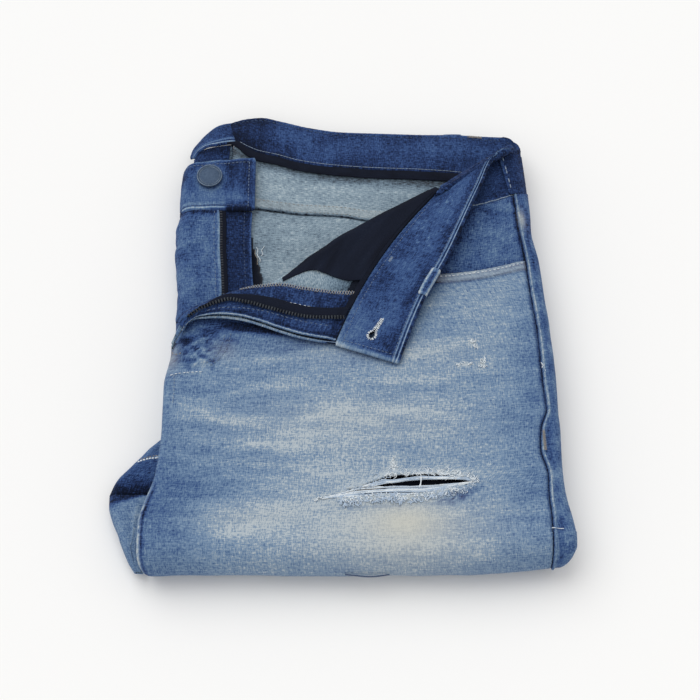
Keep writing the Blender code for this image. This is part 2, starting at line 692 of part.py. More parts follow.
def band_grid(rows):
    """A grid between the two edges of a table of band rows, a little crowned."""
    rows = np.array(rows)
    across = np.linspace(0.0, 1.0, 4)[:, None]
    grid = rows[:, None, :3] + (rows[:, None, 3:] - rows[:, None, :3]) * across
    grid[..., 2] += BAND_CROWN * 4 * (across * (1 - across))[:, 0]
    return grid


def waistband_back(skin):
    return wall("waistband_back", band_grid(BACK_ROWS), WAISTBAND, skin)


def waistband_right_back(skin):
    return wall("waistband_right_back", band_grid(TURN_ROWS), WAISTBAND - BAND_CROWN, skin)


def yoke_left(skin):
    """The left yoke from inside, between the binding and the yoke seam."""
    x = np.array(INSIDE_X)
    seam = np.array(BACK_ROWS)[::-1, :2]
    north = np.interp(x, seam[:, 0], seam[:, 1]) - YOKE_UNDER_TAPE
    north[0] = YOKE_CORNER_Y
    south = at(YOKE_SEAM, x)
    grid = []
    for f in YOKE_SHARES:
        x_row = x.copy()
        x_row[0] += 5.5 * f
        x_row[-1] += 2.0 * (1 - f)
        z = INSIDE_HEIGHT - YOKE_DROP * f
        grid.append(np.stack([x_row, south + (north - south) * f, z + 0 * x], axis=-1))
    return wall("yoke_left", np.array(grid), DENIM, skin)


def waistband_tape_back(skin):
    rows = np.array(BACK_ROWS)[1:]
    x, north = rows[:, 0], rows[:, 1] - SEAM_GAP
    z = INSIDE_HEIGHT + TAPE + LAYER_GAP + 0 * x
    lower = np.stack([x, north - BACK_TAPE_WIDTH, z], axis=-1)
    upper = np.stack([x, north, z], axis=-1)
    return wall("waistband_tape_back", np.array([upper, lower]), TAPE, skin)


def seat_left(skin):
    """The wrong side of the left seat, as far as the open waist shows it."""
    x = np.array(INSIDE_X)
    north = at(YOKE_SEAM, x) - LAYER_GAP
    south = at(SEAT_FOOT, x)
    near, far = SEAT_DROP
    grid = []
    for f in SEAT_SHARES:
        x_row = x.copy()
        x_row[-1] += 2.0 + 2.5 * (1 - f)
        z = INSIDE_HEIGHT - far + (far - near) * f
        grid.append(np.stack([x_row, south + (north - south) * f, z + 0 * x], axis=-1))
    return wall("seat_left", np.array(grid), DENIM, skin)


def yoke_right(skin):
    """The outside of the right yoke, under the turned waistband at the far corner."""
    rows = np.array(TURN_ROWS)
    north = rows[:, 1] - YOKE_RIGHT_SETBACK
    low = YOKE_RIGHT_FOOT_Y
    grid = []
    for f, first_x, z in ((0.0, -77.6, 15.4), (0.5, -76.0, 15.5), (1.0, -74.8, rows[:, 2] - 1.0)):
        x = np.concatenate([[first_x], rows[1:-1, 0], [-100.0]])
        grid.append(np.stack([x, low + (north - low) * f, z + 0 * x], axis=-1))
    return wall("yoke_right", np.array(grid)[:, ::-1], DENIM, skin)


def side_section(x_in, droop, x_left, turn, top, low, x_end, count=7):
    """A section of cloth that comes round the left side, from its inner end on top to its end below."""
    angle = np.radians(np.linspace(90.0, 270.0, count))
    half = (top - low) / 2
    round_x = x_left + turn + turn * np.cos(angle)
    round_z = low + half + half * np.sin(angle)
    middle = (x_in + x_left + turn) / 2
    x = np.concatenate([[x_in, middle], round_x, [x_end]])
    z = np.concatenate([[top - droop, top - droop * 0.25], round_z, [low]])
    return x, z


def right_front(skin):
    grid = []
    for y, x_in, left, top in RIGHT_FRONT_ROWS:
        x, z = side_section(x_in, RIGHT_FRONT_DROOP, left, SIDE_TURN, top, LOWEST_INNER, left + RIGHT_FRONT_END)
        grid.append(np.stack([x, np.full_like(x, y), z], axis=-1))
    return wall("right_front", np.array(grid), DENIM, skin)


def waistband_button_end(skin):
    grid = []
    for y, rise, left, top in BUTTON_END_ROWS:
        x, z = side_section(BUTTON_END_RIGHT, BUTTON_END_DROOP, left, SIDE_TURN, top, LOWEST_INNER,
                            left + BUTTON_END_UNDER)
        share = np.clip((x - left) / (BUTTON_END_RIGHT - left), 0, 1)
        grid.append(np.stack([x, y + rise * share, z], axis=-1))
    return wall("waistband_button_end", np.array(grid)[::-1], WAISTBAND, skin)


def shield_grid():
    """Fly shield: columns from under the right front, past the zip tape, to its free edge."""
    grid = []
    for y in SHIELD_ROWS:
        line, edge = at(RIGHT_FRONT_ROWS, y), at(SHIELD_EDGE, y)
        top = at(RIGHT_FRONT_ROWS, y, 3) - RIGHT_FRONT_DROOP - DENIM - LAYER_GAP
        x = np.array([line - 3.5, line + 0.5, line + 4.2, (line + edge) / 2 + 2.0, edge])
        grid.append(np.stack([x, y + 0 * x, top - np.array(SHIELD_SINK)], axis=-1))
    return np.array(grid)


def fly_shield(skin):
    return wall("fly_shield", shield_grid()[:, ::-1], FACING, skin)


def zip_tape_right(skin):
    return wall("zip_tape_right", moved_out(shield_grid()[:, 1:3][:, ::-1], TAPE + LAYER_GAP), TAPE, skin)


def pocket_facing(skin):
    """The outside facing above the hidden pocket's opening, dipping under the front at its foot."""
    foot = np.array([FACING_FOOT_START, *POCKET_OPENING[2:]])
    top = np.array(FACING_TOP)
    grid = []
    for f, sink in FACING_ROWS:
        points = foot + (top - foot) * f
        points[-1, 0] = at(TOP_OUTLINE, points[-1, 1], 2) - FACING_SETBACK
        grid.append(np.column_stack([points, at(TOP_HEIGHT, points[:, 1]) - sink]))
    return wall("pocket_facing", np.array(grid), DENIM, skin)


def pocket_bag_lower(skin):
    """The part of the pocket bag that shows through the rip."""
    x = np.linspace(*BAG_X, 6)
    grid = [np.stack([x, y + 0 * x, at(TOP_HEIGHT, y) - DENIM - BAG_DEPTH + 0 * x], axis=-1) for y in BAG_Y]
    return wall("pocket_bag_lower", np.array(grid), BAG, skin)


def crotch(name, rows, skin):
    """One side of the seat's point, from inside the pile round the left edge to its end below."""
    grid = []
    for y, x_in, left, top, low in rows:
        turn = min(CROTCH_TURN, (x_in - left) * 0.45)
        x, z = side_section(x_in, 0.0, left, turn, top, low, max(CROTCH_LOW_END, left + turn + 0.8))
        grid.append(np.stack([x, y + 0 * x, z], axis=-1))
    return wall(name, np.array(grid), CROTCH_CLOTH, skin)


def crotch_layers(skin):
    """What fills the seat's point, between its two cloths and over the edge of the lowest layer."""
    rows = [*CROTCH_UPPER_ROWS, *CROTCH_LOWER_ROWS]
    inset = CROTCH_CLOTH + LAYER_GAP + 0.35
    rings = []
    for y in CROTCH_LAYER_ROWS:
        x_in, left, top, low = (at(rows, y, c) for c in (1, 2, 3, 4))
        x_in = max(x_in, -104.9 - 2 * LAYER_GAP)
        left, turn, top, low = left + inset, CROTCH_TURN - inset, top - inset, low + inset
        x, z = side_section(x_in, 0.0, left, turn, top, low, CROTCH_LOW_END)
        step = [(CROTCH_LOW_END + 1.0, CROTCH_STEP_Z), (x_in, CROTCH_STEP_Z)]
        rings.append([(px, y, pz) for px, pz in [*zip(x, z), *step]])
    return loft("crotch_layers", rings, skin)


def loft(name, rings, skin):
    """A closed solid through rings of the same number of points, with flat ends."""
    n = len(rings[0])
    faces = [tuple(range(n)), tuple(range(len(rings) * n - n, len(rings) * n))[::-1]]
    for r in range(len(rings) - 1):
        for i in range(n):
            j = (i + 1) % n
            faces.append((r * n + i, (r + 1) * n + i, (r + 1) * n + j, r * n + j))
    made = mesh_object(name, [p for ring in rings for p in ring], faces, skin)
    bm = bmesh.new()
    bm.from_mesh(made.data)
    bmesh.ops.triangulate(bm, faces=[f for f in bm.faces if len(f.verts) > 4])
    bmesh.ops.recalc_face_normals(bm, faces=bm.faces)
    bm.to_mesh(made.data)
    bm.free()
    return made


def layer_edges(scalloped):
    """Share of the height and inset of a side of the hidden layers, from low to high."""
    shares, insets = [], []
    for i in range(LAYER_EDGES):
        for part, inset in ((0.0, LAYER_EDGE_DEPTH), (0.28, 0.0), (0.72, 0.0)):
            shares.append((i + part) / LAYER_EDGES)
            insets.append(inset)
    shares = np.array([*shares, 1.0])
    insets = np.array([*insets, LAYER_EDGE_DEPTH])
    if not scalloped:
        insets = ROUND_SIDE_DEPTH * (1 - np.sqrt(1 - np.clip(np.abs(2 * shares - 1), 0, 0.96) ** 2))
    return shares, insets


def core_ring(row):
    """One section of the hidden layers, from the left foot round by the right side."""
    y, left, right, low, middle, left_top, right_low, right_high, left_low, left_high, foot = row
    wrapped = WRAPPED_Y[0] < y < WRAPPED_Y[1]
    shares, insets = layer_edges(True)
    right_side = np.stack([right - insets, right_low + (right_high - right_low) * shares], axis=-1)
    shares, insets = layer_edges(not wrapped)
    left_side = np.stack([left + insets, left_low + (left_high - left_low) * shares], axis=-1)
    ring = [
        (left + 19.5, low),
        (right - 14.0, low),
        (right - 13.0, right_low - 0.15),
        *right_side,
        (right - 15.0, right_high + 0.15),
        (right - 16.0, max(middle, right_high + 0.4)),
        (20.0, middle),
        (max(-80.3, left + 22.0), middle),
        (max(-86.0, left + 16.0), left_top),
        (left + 14.0, left_top),
        (left + 13.0, left_high + 0.1),
        *left_side[::-1],
        (left + 18.5, foot),
    ]
    return [(x, y, z) for x, z in ring]


def hidden_layers(skin):
    """Everything inside the pile, one rounded solid with layered sides."""
    return loft("hidden_layers", [core_ring(row) for row in CORE_ROWS], skin)


def belt_loop_side(skin):
    """The loop at the left side seam, on the outside of the waistband."""
    grid = waistband_left_grid()
    outer = moved_out(grid, -(WAISTBAND + SEAM_GAP + LAYER_GAP + DENIM))[LOOP_SIDE_ROWS]
    return wall("belt_loop_side", outer[::-1], DENIM, skin)


def belt_loop_back(skin):
    """The top of a back loop, under the edge of the waistband."""
    low, high = LOOP_BACK_X
    rows = [[(low, y, z), (high, y, z)] for y, z in LOOP_BACK_ROWS]
    return wall("belt_loop_back", np.array(rows), DENIM, skin)


def belt_loop_front(skin):
    """The top of a front loop, past the edge of the turned-back waistband."""
    grid = []
    for q in LOOP_FRONT_SHARES:
        top = np.array([at(FLAP_OUTER_EDGE, q, c) for c in (1, 2, 3)])
        seam = corner_surface(len(FOLD_ROWS) - 1.0, q) + WAISTBAND_OFFSET
        across = unit(top - seam)
        under = np.array([0.0, 0.0, -(WAISTBAND + SEAM_GAP)])
        grid.append([top + across * reach + under for reach in LOOP_FRONT_REACH])
    return wall("belt_loop_front", np.array(grid), DENIM, skin)


def button(skin):
    """A plain domed button with a raised rim, on the right end of the waistband."""
    bm = bmesh.new()
    verts = [bm.verts.new((r * BUTTON_RADIUS * MM, 0.0, z * MM)) for r, z in BUTTON_PROFILE]
    edges = [bm.edges.new(pair) for pair in zip(verts, verts[1:])]
    bmesh.ops.spin(bm, geom=verts + edges, axis=(0, 0, 1), cent=(0, 0, 0), angle=2 * np.pi, steps=24)
    bmesh.ops.remove_doubles(bm, verts=bm.verts, dist=0.00001)
    bmesh.ops.recalc_face_normals(bm, faces=bm.faces)
    mesh = bpy.data.meshes.new("button")
    bm.to_mesh(mesh)
    bm.free()
    mesh.materials.append(skin)
    mesh.shade_smooth()
    made = bpy.data.objects.new("button", mesh)
    made.matrix_world = Matrix.Translation([c * MM for c in BUTTON_CENTRE])
    bpy.context.scene.collection.objects.link(made)


def main():
    clear_scene()
    faded, deep, wrong = faded_denim(), deep_denim(), wrong_side_denim()
    black = black_cotton()
    hidden_layers(faded)
    left_front(faded)
    left_back(faded)
    left_front_corner(wrong)
    fly_facing(deep)
    zip_tape_left(black)
    pocket_bag_upper(black)
    waistband_tape_front(black)
    waistband_left(deep)
    waistband_back(deep)
    waistband_tape_back(black)
    waistband_right_back(deep)
    waistband_button_end(deep)
    yoke_left(wrong)
    yoke_right(deep)
    seat_left(wrong)
    right_front(faded)
    fly_shield(deep)
    zip_tape_right(black)
    pocket_facing(deep)
    pocket_bag_lower(black)
    crotch("crotch_left_back", CROTCH_UPPER_ROWS, deep)
    crotch("crotch_right_back", CROTCH_LOWER_ROWS, faded)
    crotch_layers(deep)
    belt_loop_side(deep)
    belt_loop_back(deep)
    belt_loop_front(deep)
    button(button_metal())


main()
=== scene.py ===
# Ripped jeans lying flat: folded in half along their length with the legs turned under twice, the fly
# open and the corner of the left front turned back like a lapel. Tables are in millimetres, and X runs
# from the centre seams to the left outseam, Y from the leg fold to the waist.
import bpy
import numpy as np
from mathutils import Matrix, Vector


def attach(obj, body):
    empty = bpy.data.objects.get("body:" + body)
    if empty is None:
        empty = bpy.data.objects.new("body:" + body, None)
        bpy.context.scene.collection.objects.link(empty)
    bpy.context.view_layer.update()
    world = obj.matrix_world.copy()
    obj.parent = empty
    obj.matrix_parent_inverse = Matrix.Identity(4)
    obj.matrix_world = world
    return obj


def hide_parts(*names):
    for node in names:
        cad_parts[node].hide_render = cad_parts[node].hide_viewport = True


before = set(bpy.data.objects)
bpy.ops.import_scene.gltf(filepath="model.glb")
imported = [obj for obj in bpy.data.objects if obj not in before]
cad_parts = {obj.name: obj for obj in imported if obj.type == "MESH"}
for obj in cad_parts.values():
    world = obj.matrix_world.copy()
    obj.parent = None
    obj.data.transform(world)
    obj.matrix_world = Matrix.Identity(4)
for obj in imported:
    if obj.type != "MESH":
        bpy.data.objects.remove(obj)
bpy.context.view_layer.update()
mm = 0.001
print("frame loaded")


# curves, noise and soft bells

def cubic(knots, values, x):
    # cubic through the knots, its slopes the harmonic mean of both sides, so that it never overshoots
    knots, values = np.asarray(knots, float), np.asarray(values, float)
    step = np.diff(knots)
    step = step.reshape(-1, *[1] * (values.ndim - 1))
    rise = np.diff(values, axis=0) / step
    slope = np.zeros_like(values)
    both = rise[:-1] * rise[1:]
    total = np.where(both > 0, rise[:-1] + rise[1:], 1)
    slope[1:-1] = np.where(both > 0, 2 * both / total, 0)
    slope[0], slope[-1] = rise[0], rise[-1]
    x = np.asarray(np.clip(x, knots[0], knots[-1]))
    i = np.clip(np.searchsorted(knots, x, side="right") - 1, 0, len(knots) - 2)
    wide = step[i]
    t = np.reshape(x - knots[i], (*x.shape, *[1] * (values.ndim - 1))) / wide
    a, b = values[i], values[i + 1]
    return (a * (1 + 2 * t) * (1 - t) ** 2 + slope[i] * wide * t * (1 - t) ** 2
            + b * t * t * (3 - 2 * t) + slope[i + 1] * wide * t * t * (t - 1))


def rowAt(table, x):
    # the other columns of a table where its first column passes x
    rows = np.array(sorted(table), float)
    return cubic(rows[:, 0], rows[:, 1:], x)


def at(table, x, column=1):
    return rowAt(table, x)[..., column - 1]


def unit(v):
    return v / np.maximum(np.linalg.norm(v, axis=-1, keepdims=True), 1e-12)


def normalsOf(grid):
    # upward normal of a grid of points: its step across, times its step along
    return unit(np.cross(np.gradient(grid, axis=1), np.gradient(grid, axis=0)))


def gaps(points, axis=0):
    return np.linalg.norm(np.diff(points, axis=axis), axis=-1)


def runOf(points):
    # length of a line up to each of its points
    return np.append(0, np.cumsum(gaps(points)))


def between(marks, run, *values):
    # each array of vectors where the run passes the marks
    return [np.stack([np.interp(marks, run, v[:, k]) for k in range(3)], axis=-1) for v in values]


def stack(*parts):
    return np.stack(parts, axis=-1)


def steps(count):
    return np.linspace(0, 1, count)


def upward(count):
    return np.array([(0, 0, 1.0)] * count)


def plan(grid):
    return grid[..., 0], grid[..., 1]


def shareAlong(x):
    # from 0 at the first row of an array to 1 at its last
    return steps(len(x))[:, None] + 0 * x


def shareAcross(x):
    return steps(x.shape[1]) + 0 * x


def countAcross(x):
    return np.arange(x.shape[1]) + 0 * x


def countAlong(x):
    return np.arange(len(x))[:, None] + 0 * x


def resample(grid, rows, columns):
    # a dense grid through a coarse one, evenly spaced along its mean length
    grid = np.asarray(grid, float)
    for axis, count in ((0, rows), (1, columns)):
        turned = np.moveaxis(grid, axis, 0)
        knots = np.append(0, np.cumsum(gaps(turned).reshape(len(turned) - 1, -1).mean(axis=1)))
        grid = np.moveaxis(cubic(knots, turned, np.linspace(0, knots[-1], count)), 0, axis)
    return grid


def noise(a, b, seed, size=64):
    # from -1 to 1: random numbers on a square lattice, blended smoothly
    lattice = np.random.default_rng(seed).uniform(-1, 1, (size, size))
    ia, ib = np.floor(a).astype(int), np.floor(b).astype(int)
    fa, fb = a - ia, b - ib
    fa, fb = fa * fa * (3 - 2 * fa), fb * fb * (3 - 2 * fb)
    ia, ib, ja, jb = ia % size, ib % size, (ia + 1) % size, (ib + 1) % size
    low = lattice[ia, ib] * (1 - fa) + lattice[ja, ib] * fa
    high = lattice[ia, jb] * (1 - fa) + lattice[ja, jb] * fa
    return low * (1 - fb) + high * fb


def mottle(x, y, *table):
    # sum of noises: each has a height, its size along both directions, and a seed
    return sum(height * noise(x / wide, y / long, seed) for height, wide, long, seed in table)


def bells(x, y, table):
    # sum of soft runs: a bell across each, a taper at both ends, the middle moved aside by the bow
    total = np.zeros_like(x)
    for x0, y0, x1, y1, width, height, bow in table:
        dx, dy = x1 - x0, y1 - y0
        run = np.hypot(dx, dy)
        along = ((x - x0) * dx + (y - y0) * dy) / run ** 2
        off = ((x - x0) * dy - (y - y0) * dx) / run - bow * 4 * along * (1 - along)
        ends = np.exp(-(np.maximum(np.abs(along - 0.5) - 0.3, 0) / 0.15) ** 2)
        total = total + height * np.exp(-(off / width) ** 2) * ends
    return total


def spots(x, y, table):
    # sum of soft ovals: middle, half sizes, turn in degrees and height
    total = np.zeros_like(x)
    for cx, cy, rx, ry, turn, height in table:
        c, s = np.cos(np.radians(turn)), np.sin(np.radians(turn))
        p, q = (x - cx) * c + (y - cy) * s, (y - cy) * c - (x - cx) * s
        total = total + height * np.exp(-(p / rx) ** 2 - (q / ry) ** 2)
    return total


def arch(share):
    # a half wave: none at both ends, one in the middle
    return np.sin(np.pi * share)


def bell(x, middle, width):
    # one at the middle, falling off evenly on both sides
    return np.exp(-((x - middle) / width) ** 2)


def ridges(x, *table):
    # sum of bells: each has a height, a middle and a width
    return sum(height * bell(x, middle, width) for height, middle, width in table)


def fade(x, low, high):
    t = np.clip((x - low) / (high - low), 0, 1)
    return t * t * (3 - 2 * t)


# shader boards: sockets that Python's operators join

class Wire:
    def __init__(self, board, socket):
        self.board, self.socket = board, socket

    def maths(self, operation, first, second):
        return self.board.add("ShaderNodeMath", {"operation": operation}, {0: first, 1: second})

    def __add__(self, other):
        return self.maths("ADD", self, other)

    __radd__ = __add__

    def __sub__(self, other):
        return self.maths("SUBTRACT", self, other)

    def __rsub__(self, other):
        return self.maths("SUBTRACT", other, self)

    def __mul__(self, other):
        return self.maths("MULTIPLY", self, other)

    __rmul__ = __mul__

    def clamped(self):
        return self.board.add("ShaderNodeClamp", {}, {"Value": self})


class Board:
    def __init__(self, name, roughness=0.9, sheen=0, metallic=0):
        self.material = bpy.data.materials.new(name)
        self.material.use_nodes = True
        self.tree = self.material.node_tree
        self.skin = self.tree.nodes["Principled BSDF"]
        for key, value in (("Roughness", roughness), ("Metallic", metallic), ("Sheen Weight", sheen),
                           ("Sheen Roughness", 0.45), ("Specular IOR Level", 0.5 if metallic else 0.12)):
            self.skin.inputs[key].default_value = value

    def add(self, kind, settings, inputs, output=0):
        # settings first, then values or links
        node = self.tree.nodes.new(kind)
        for key, value in settings.items():
            if key == "stops":
                ramp = node.color_ramp
                while len(ramp.elements) < len(value):
                    ramp.elements.new(1)
                for element, (place, colour) in zip(ramp.elements, value):
                    element.position, element.color = place, (*colour, 1)
            else:
                setattr(node, key, value)
        for key, value in inputs.items():
            if isinstance(value, Wire):
                self.tree.links.new(value.socket, node.inputs[key])
            else:
                node.inputs[key].default_value = value
        return Wire(self, node.outputs[output])

    def ramp(self, factor, stops):
        return self.add("ShaderNodeValToRGB", {"stops": stops}, {"Fac": factor})

    def mix(self, factor, a, b):
        return self.add("ShaderNodeMix", {"data_type": "RGBA"}, {0: factor, 6: a, 7: b}, 2)

    def attribute(self, name):
        return self.add("ShaderNodeAttribute", {"attribute_name": name}, {}, "Fac")

    def clothPlace(self, across, along):
        # place on the cloth, scaled across and along the warp
        uv = self.add("ShaderNodeUVMap", {"uv_map": "cloth"}, {})
        return self.add("ShaderNodeVectorMath", {"operation": "MULTIPLY"}, {0: uv, 1: (across, along, 1)})

    def noise(self, place, scale=1, detail=2, roughness=0.5):
        return self.add("ShaderNodeTexNoise", {}, {"Vector": place, "Scale": scale, "Detail": detail,
                                                   "Roughness": roughness})

    def feed(self, key, wire):
        self.tree.links.new(wire.socket, self.skin.inputs[key])

    def bump(self, height, strength, distance):
        self.feed("Normal", self.add("ShaderNodeBump", {}, {"Strength": strength, "Distance": distance,
                                                            "Height": height}))


indigoStops = (
    (0, (0.003, 0.007, 0.022)), (0.12, (0.013, 0.029, 0.094)), (0.22, (0.031, 0.068, 0.192)),
    (0.32, (0.05, 0.102, 0.238)), (0.5, (0.108, 0.182, 0.31)), (0.65, (0.165, 0.252, 0.385)),
    (0.8, (0.232, 0.316, 0.42)), (0.9, (0.3, 0.372, 0.448)), (1, (0.43, 0.49, 0.54)),
)
wrongStops = (
    (0, (0.006, 0.009, 0.018)), (0.3, (0.105, 0.16, 0.222)), (0.5, (0.19, 0.268, 0.342)),
    (0.7, (0.27, 0.356, 0.43)), (1, (0.466, 0.546, 0.585)),
)
blackStops = (
    (0, (0.002, 0.002, 0.004)), (0.5, (0.009, 0.013, 0.027)), (1, (0.09, 0.11, 0.15)),
)

finishes = {
    # ramp, sheen, then how far each moves the tone: shift, grain, weft, slub, cloud and twill; bump
    "denim": (indigoStops, 0.05, 0, 0.88, 0.84, 0.5, 0.24, 0.05, 0.5),
    "deepDenim": (indigoStops, 0.03, -0.055, 0.66, 0.7, 0.24, 0.24, 0.05, 0.5),
    "wrongSide": (wrongStops, 0.05, -0.01, 0.6, 1.45, 0.2, 0.26, 0.05, 0.55),
    "blackCotton": (blackStops, 0, -0.1, 0.26, 0.26, 0.07, 0.14, 0.1, 0.35),
}


def clothSkin(name, stops, sheen, shift, grain, weft, slub, cloud, twill, bump):
    # the piece's tone, roughened by noise (less where it is dark) and by the twill's diagonal, then
    # coloured by a ramp and warmed by the stain
    board = Board(name, roughness=0.92, sheen=sheen)
    warpYarn = board.noise(board.clothPlace(1500, 420), detail=1)
    weftYarn = board.noise(board.clothPlace(330, 1600), detail=1)
    slubs = board.noise(board.clothPlace(900, 70)) + board.noise(board.clothPlace(70, 900))
    clouds = board.noise(board.clothPlace(52, 150), detail=3, roughness=0.6)
    apart = board.add("ShaderNodeSeparateXYZ", {}, {"Vector": board.clothPlace(5200, 5200)})
    across, along = [Wire(board, apart.socket.node.outputs[axis]) for axis in "XY"]
    ribs = board.add("ShaderNodeMath", {"operation": "SINE"}, {0: across + along * 0.8})
    tone = board.attribute("tone")
    rough = ((warpYarn - 0.5) * grain + (weftYarn - 0.5) * weft + (slubs - 1) * slub + (clouds - 0.5) * cloud
             + ribs * (twill * 0.5))
    colour = board.ramp((tone + shift + rough * (tone * 0.7 + 0.42)).clamped(), stops)
    board.feed("Base Color", board.mix(board.attribute("stain"), colour, (0.56, 0.55, 0.48, 1)))
    board.bump(ribs * 0.25 + warpYarn + weftYarn * 0.7, bump, 0.0004)
    return board.material


def threadSkin(name, colour, shade):
    # spun thread: fine noise between two colours
    board = Board(name, roughness=0.8, sheen=0.1)
    place = board.add("ShaderNodeTexCoord", {}, {}, "Object")
    fuzz = board.noise(place, scale=1600, detail=2)
    board.feed("Base Color", board.mix(((fuzz - 0.3) * 2).clamped(), (*shade, 1), (*colour, 1)))
    board.bump(fuzz, 0.4, 0.0002)
    return board.material


def metalSkin(name, colour, shade, roughness):
    board = Board(name, roughness=roughness, metallic=0.6)
    place = board.add("ShaderNodeTexCoord", {}, {}, "Object")
    wear = board.noise(place, scale=900, detail=3)
    blot = board.noise(place, scale=160, detail=2)
    board.feed("Base Color", board.mix(((wear + blot - 0.75) * 2).clamped(), (*shade, 1), (*colour, 1)))
    board.feed("Roughness", (blot * 0.3 + (roughness - 0.1)).clamped())
    board.bump(wear, 0.25, 0.0002)
    return board.material


denim, deepDenim, wrongSide, blackCotton = [clothSkin(name, *finishes[name]) for name in finishes]
threadColours = {
    "white": ((0.88, 0.91, 0.93), (0.62, 0.69, 0.75)), "pale": ((0.36, 0.43, 0.52), (0.15, 0.21, 0.31)),
    "fray": ((0.6, 0.69, 0.79), (0.32, 0.42, 0.56)), "worn": ((0.2, 0.26, 0.36), (0.1, 0.15, 0.25)),
    "tan": ((0.42, 0.37, 0.3), (0.2, 0.18, 0.17)), "blue": ((0.085, 0.13, 0.23), (0.03, 0.05, 0.11)),
}
threads = {name: threadSkin(name + "Thread", *colours) for name, colours in threadColours.items()}
gunMetal = metalSkin("gunMetal", (0.075, 0.115, 0.185), (0.04, 0.07, 0.125), 0.6)
# pale metal for the button's dots and for the painted highlight on its rim
paleMetalAndHighlight = metalSkin("paleMetalAndHighlight", (0.26, 0.32, 0.4), (0.12, 0.17, 0.24), 0.5)
zipMetal = metalSkin("zipMetal", (0.044, 0.052, 0.064), (0.01, 0.013, 0.02), 0.45)
print("finishes ready")


# meshes from arrays

def placed(name, data):
    made = bpy.data.objects.new(name, data)
    bpy.context.scene.collection.objects.link(made)
    return made


def meshOf(name, points, faces, skins, slots=None, uv=None, tone=None, stain=None):
    mesh = bpy.data.meshes.new(name)
    mesh.from_pydata((points * mm).tolist(), [], faces if isinstance(faces, list) else faces.tolist())
    for skin in skins:
        mesh.materials.append(skin)
    if slots is not None:
        mesh.polygons.foreach_set("material_index", slots.astype(np.int32))
    if uv is not None:
        corners = np.empty(len(mesh.loops), np.int32)
        mesh.loops.foreach_get("vertex_index", corners)
        mesh.uv_layers.new(name="cloth").data.foreach_set("uv", (uv * mm)[corners].astype(np.float32).ravel())
    for key, values in (("tone", tone), ("stain", stain)):
        if values is not None:
            mesh.attributes.new(key, "FLOAT", "POINT").data.foreach_set("value", values.astype(np.float32))
    mesh.shade_smooth()
    mesh.update()
    return placed(name, mesh)


def clothMap(grid, row=None, column=None, turned=False):
    # lengths measured along the cloth from one row and one column, so the weave isn't stretched
    rows, columns = grid.shape[:2]
    row = rows // 2 if row is None else row
    column = columns // 2 if column is None else column
    across, along = np.zeros((2, rows, columns))
    across[:, 1:] = np.cumsum(gaps(grid, 1), axis=1)
    along[1:] = np.cumsum(gaps(grid), axis=0)
    across, along = across - across[:, column:column + 1], along - along[row:row + 1]
    return stack(along, across) if turned else stack(across, along)


def quadsOf(rows, columns):
    corner = np.arange(rows * columns).reshape(rows, columns)
    return stack(corner[:-1, :-1], corner[:-1, 1:], corner[1:, 1:], corner[1:, :-1]).reshape(-1, 4)


def shell(name, grid, thickness, skins, tone=0.5, stain=0, backTone=None, turned=False, plump=0.45, swap=None):
    # a closed cloth: the grid, the same grid moved back by the thickness, and a rounded edge between
    # them; the last skin covers the back and what the swap marks on the front
    rows, columns = grid.shape[:2]
    count = rows * columns
    corner = np.arange(count).reshape(rows, columns)
    ring = np.concatenate([corner[0, :-1], corner[:-1, -1], corner[-1, :0:-1], corner[:0:-1, 0]])
    inner = np.concatenate([corner[1, :-1], corner[:-1, -2], corner[-2, :0:-1], corner[:0:-1, 1]])
    front = grid.reshape(-1, 3)
    back = (grid - normalsOf(grid) * thickness).reshape(-1, 3)
    away = unit(front[ring] - front[inner])
    middle = (front[ring] + back[ring]) / 2 + away * thickness * plump
    high = middle * 0.5 + front[ring] * 0.5 + away * thickness * plump * 0.36
    low = middle * 0.5 + back[ring] * 0.5 + away * thickness * plump * 0.36
    points = np.concatenate([front, back, high, middle, low])
    faces = quadsOf(rows, columns)
    n = len(ring)
    step = np.arange(n)
    after = (step + 1) % n
    lines = [ring, 2 * count + step, 2 * count + n + step, 2 * count + 2 * n + step, count + ring]
    strips = [stack(b, b[after], a[after], a) for a, b in zip(lines, lines[1:])]
    quads = np.concatenate([faces, count + faces[:, ::-1], *strips])
    spread = np.concatenate([np.arange(count), np.arange(count), ring, ring, ring])
    slots = np.concatenate([np.zeros(len(faces)), np.full(len(faces), len(skins) - 1), np.zeros(4 * n)])
    if swap is not None:
        slots = np.where(swap.reshape(-1)[spread][quads].mean(axis=1) > 0.5, len(skins) - 1, slots)
    uv = clothMap(grid, turned=turned).reshape(-1, 2)
    tone, stain, behind = [np.broadcast_to(v, (rows, columns)).reshape(-1)
                           for v in (tone, stain, tone if backTone is None else backTone)]
    tones = np.concatenate([tone, behind, tone[ring], tone[ring], behind[ring]])
    return meshOf(name, points, quads, skins, slots, uv[spread], tones, stain[spread])


def around(side, over, sides):
    # directions all round the plane of two others
    angle = np.linspace(0, 2 * np.pi, sides, endpoint=False)[:, None]
    return side[..., None, :] * np.cos(angle) + over[..., None, :] * np.sin(angle)


def ringFaces(rows, sides):
    # faces between rings of points, and a fan over each end from the two points that follow them
    i, k = np.arange(rows - 1)[:, None], np.arange(sides)[None]
    j = (k + 1) % sides
    quads = stack(i * sides + k, i * sides + j, (i + 1) * sides + j, (i + 1) * sides + k).reshape(-1, 4)
    k, j, tip = k[0], j[0], 0 * k[0] + rows * sides
    return quads, stack(tip, j, k), stack(tip + 1, tip - sides + k, tip - sides + j)


def copies(faces, count, size):
    return (faces[None] + (np.arange(count) * size)[:, None, None]).reshape(-1, faces.shape[1])


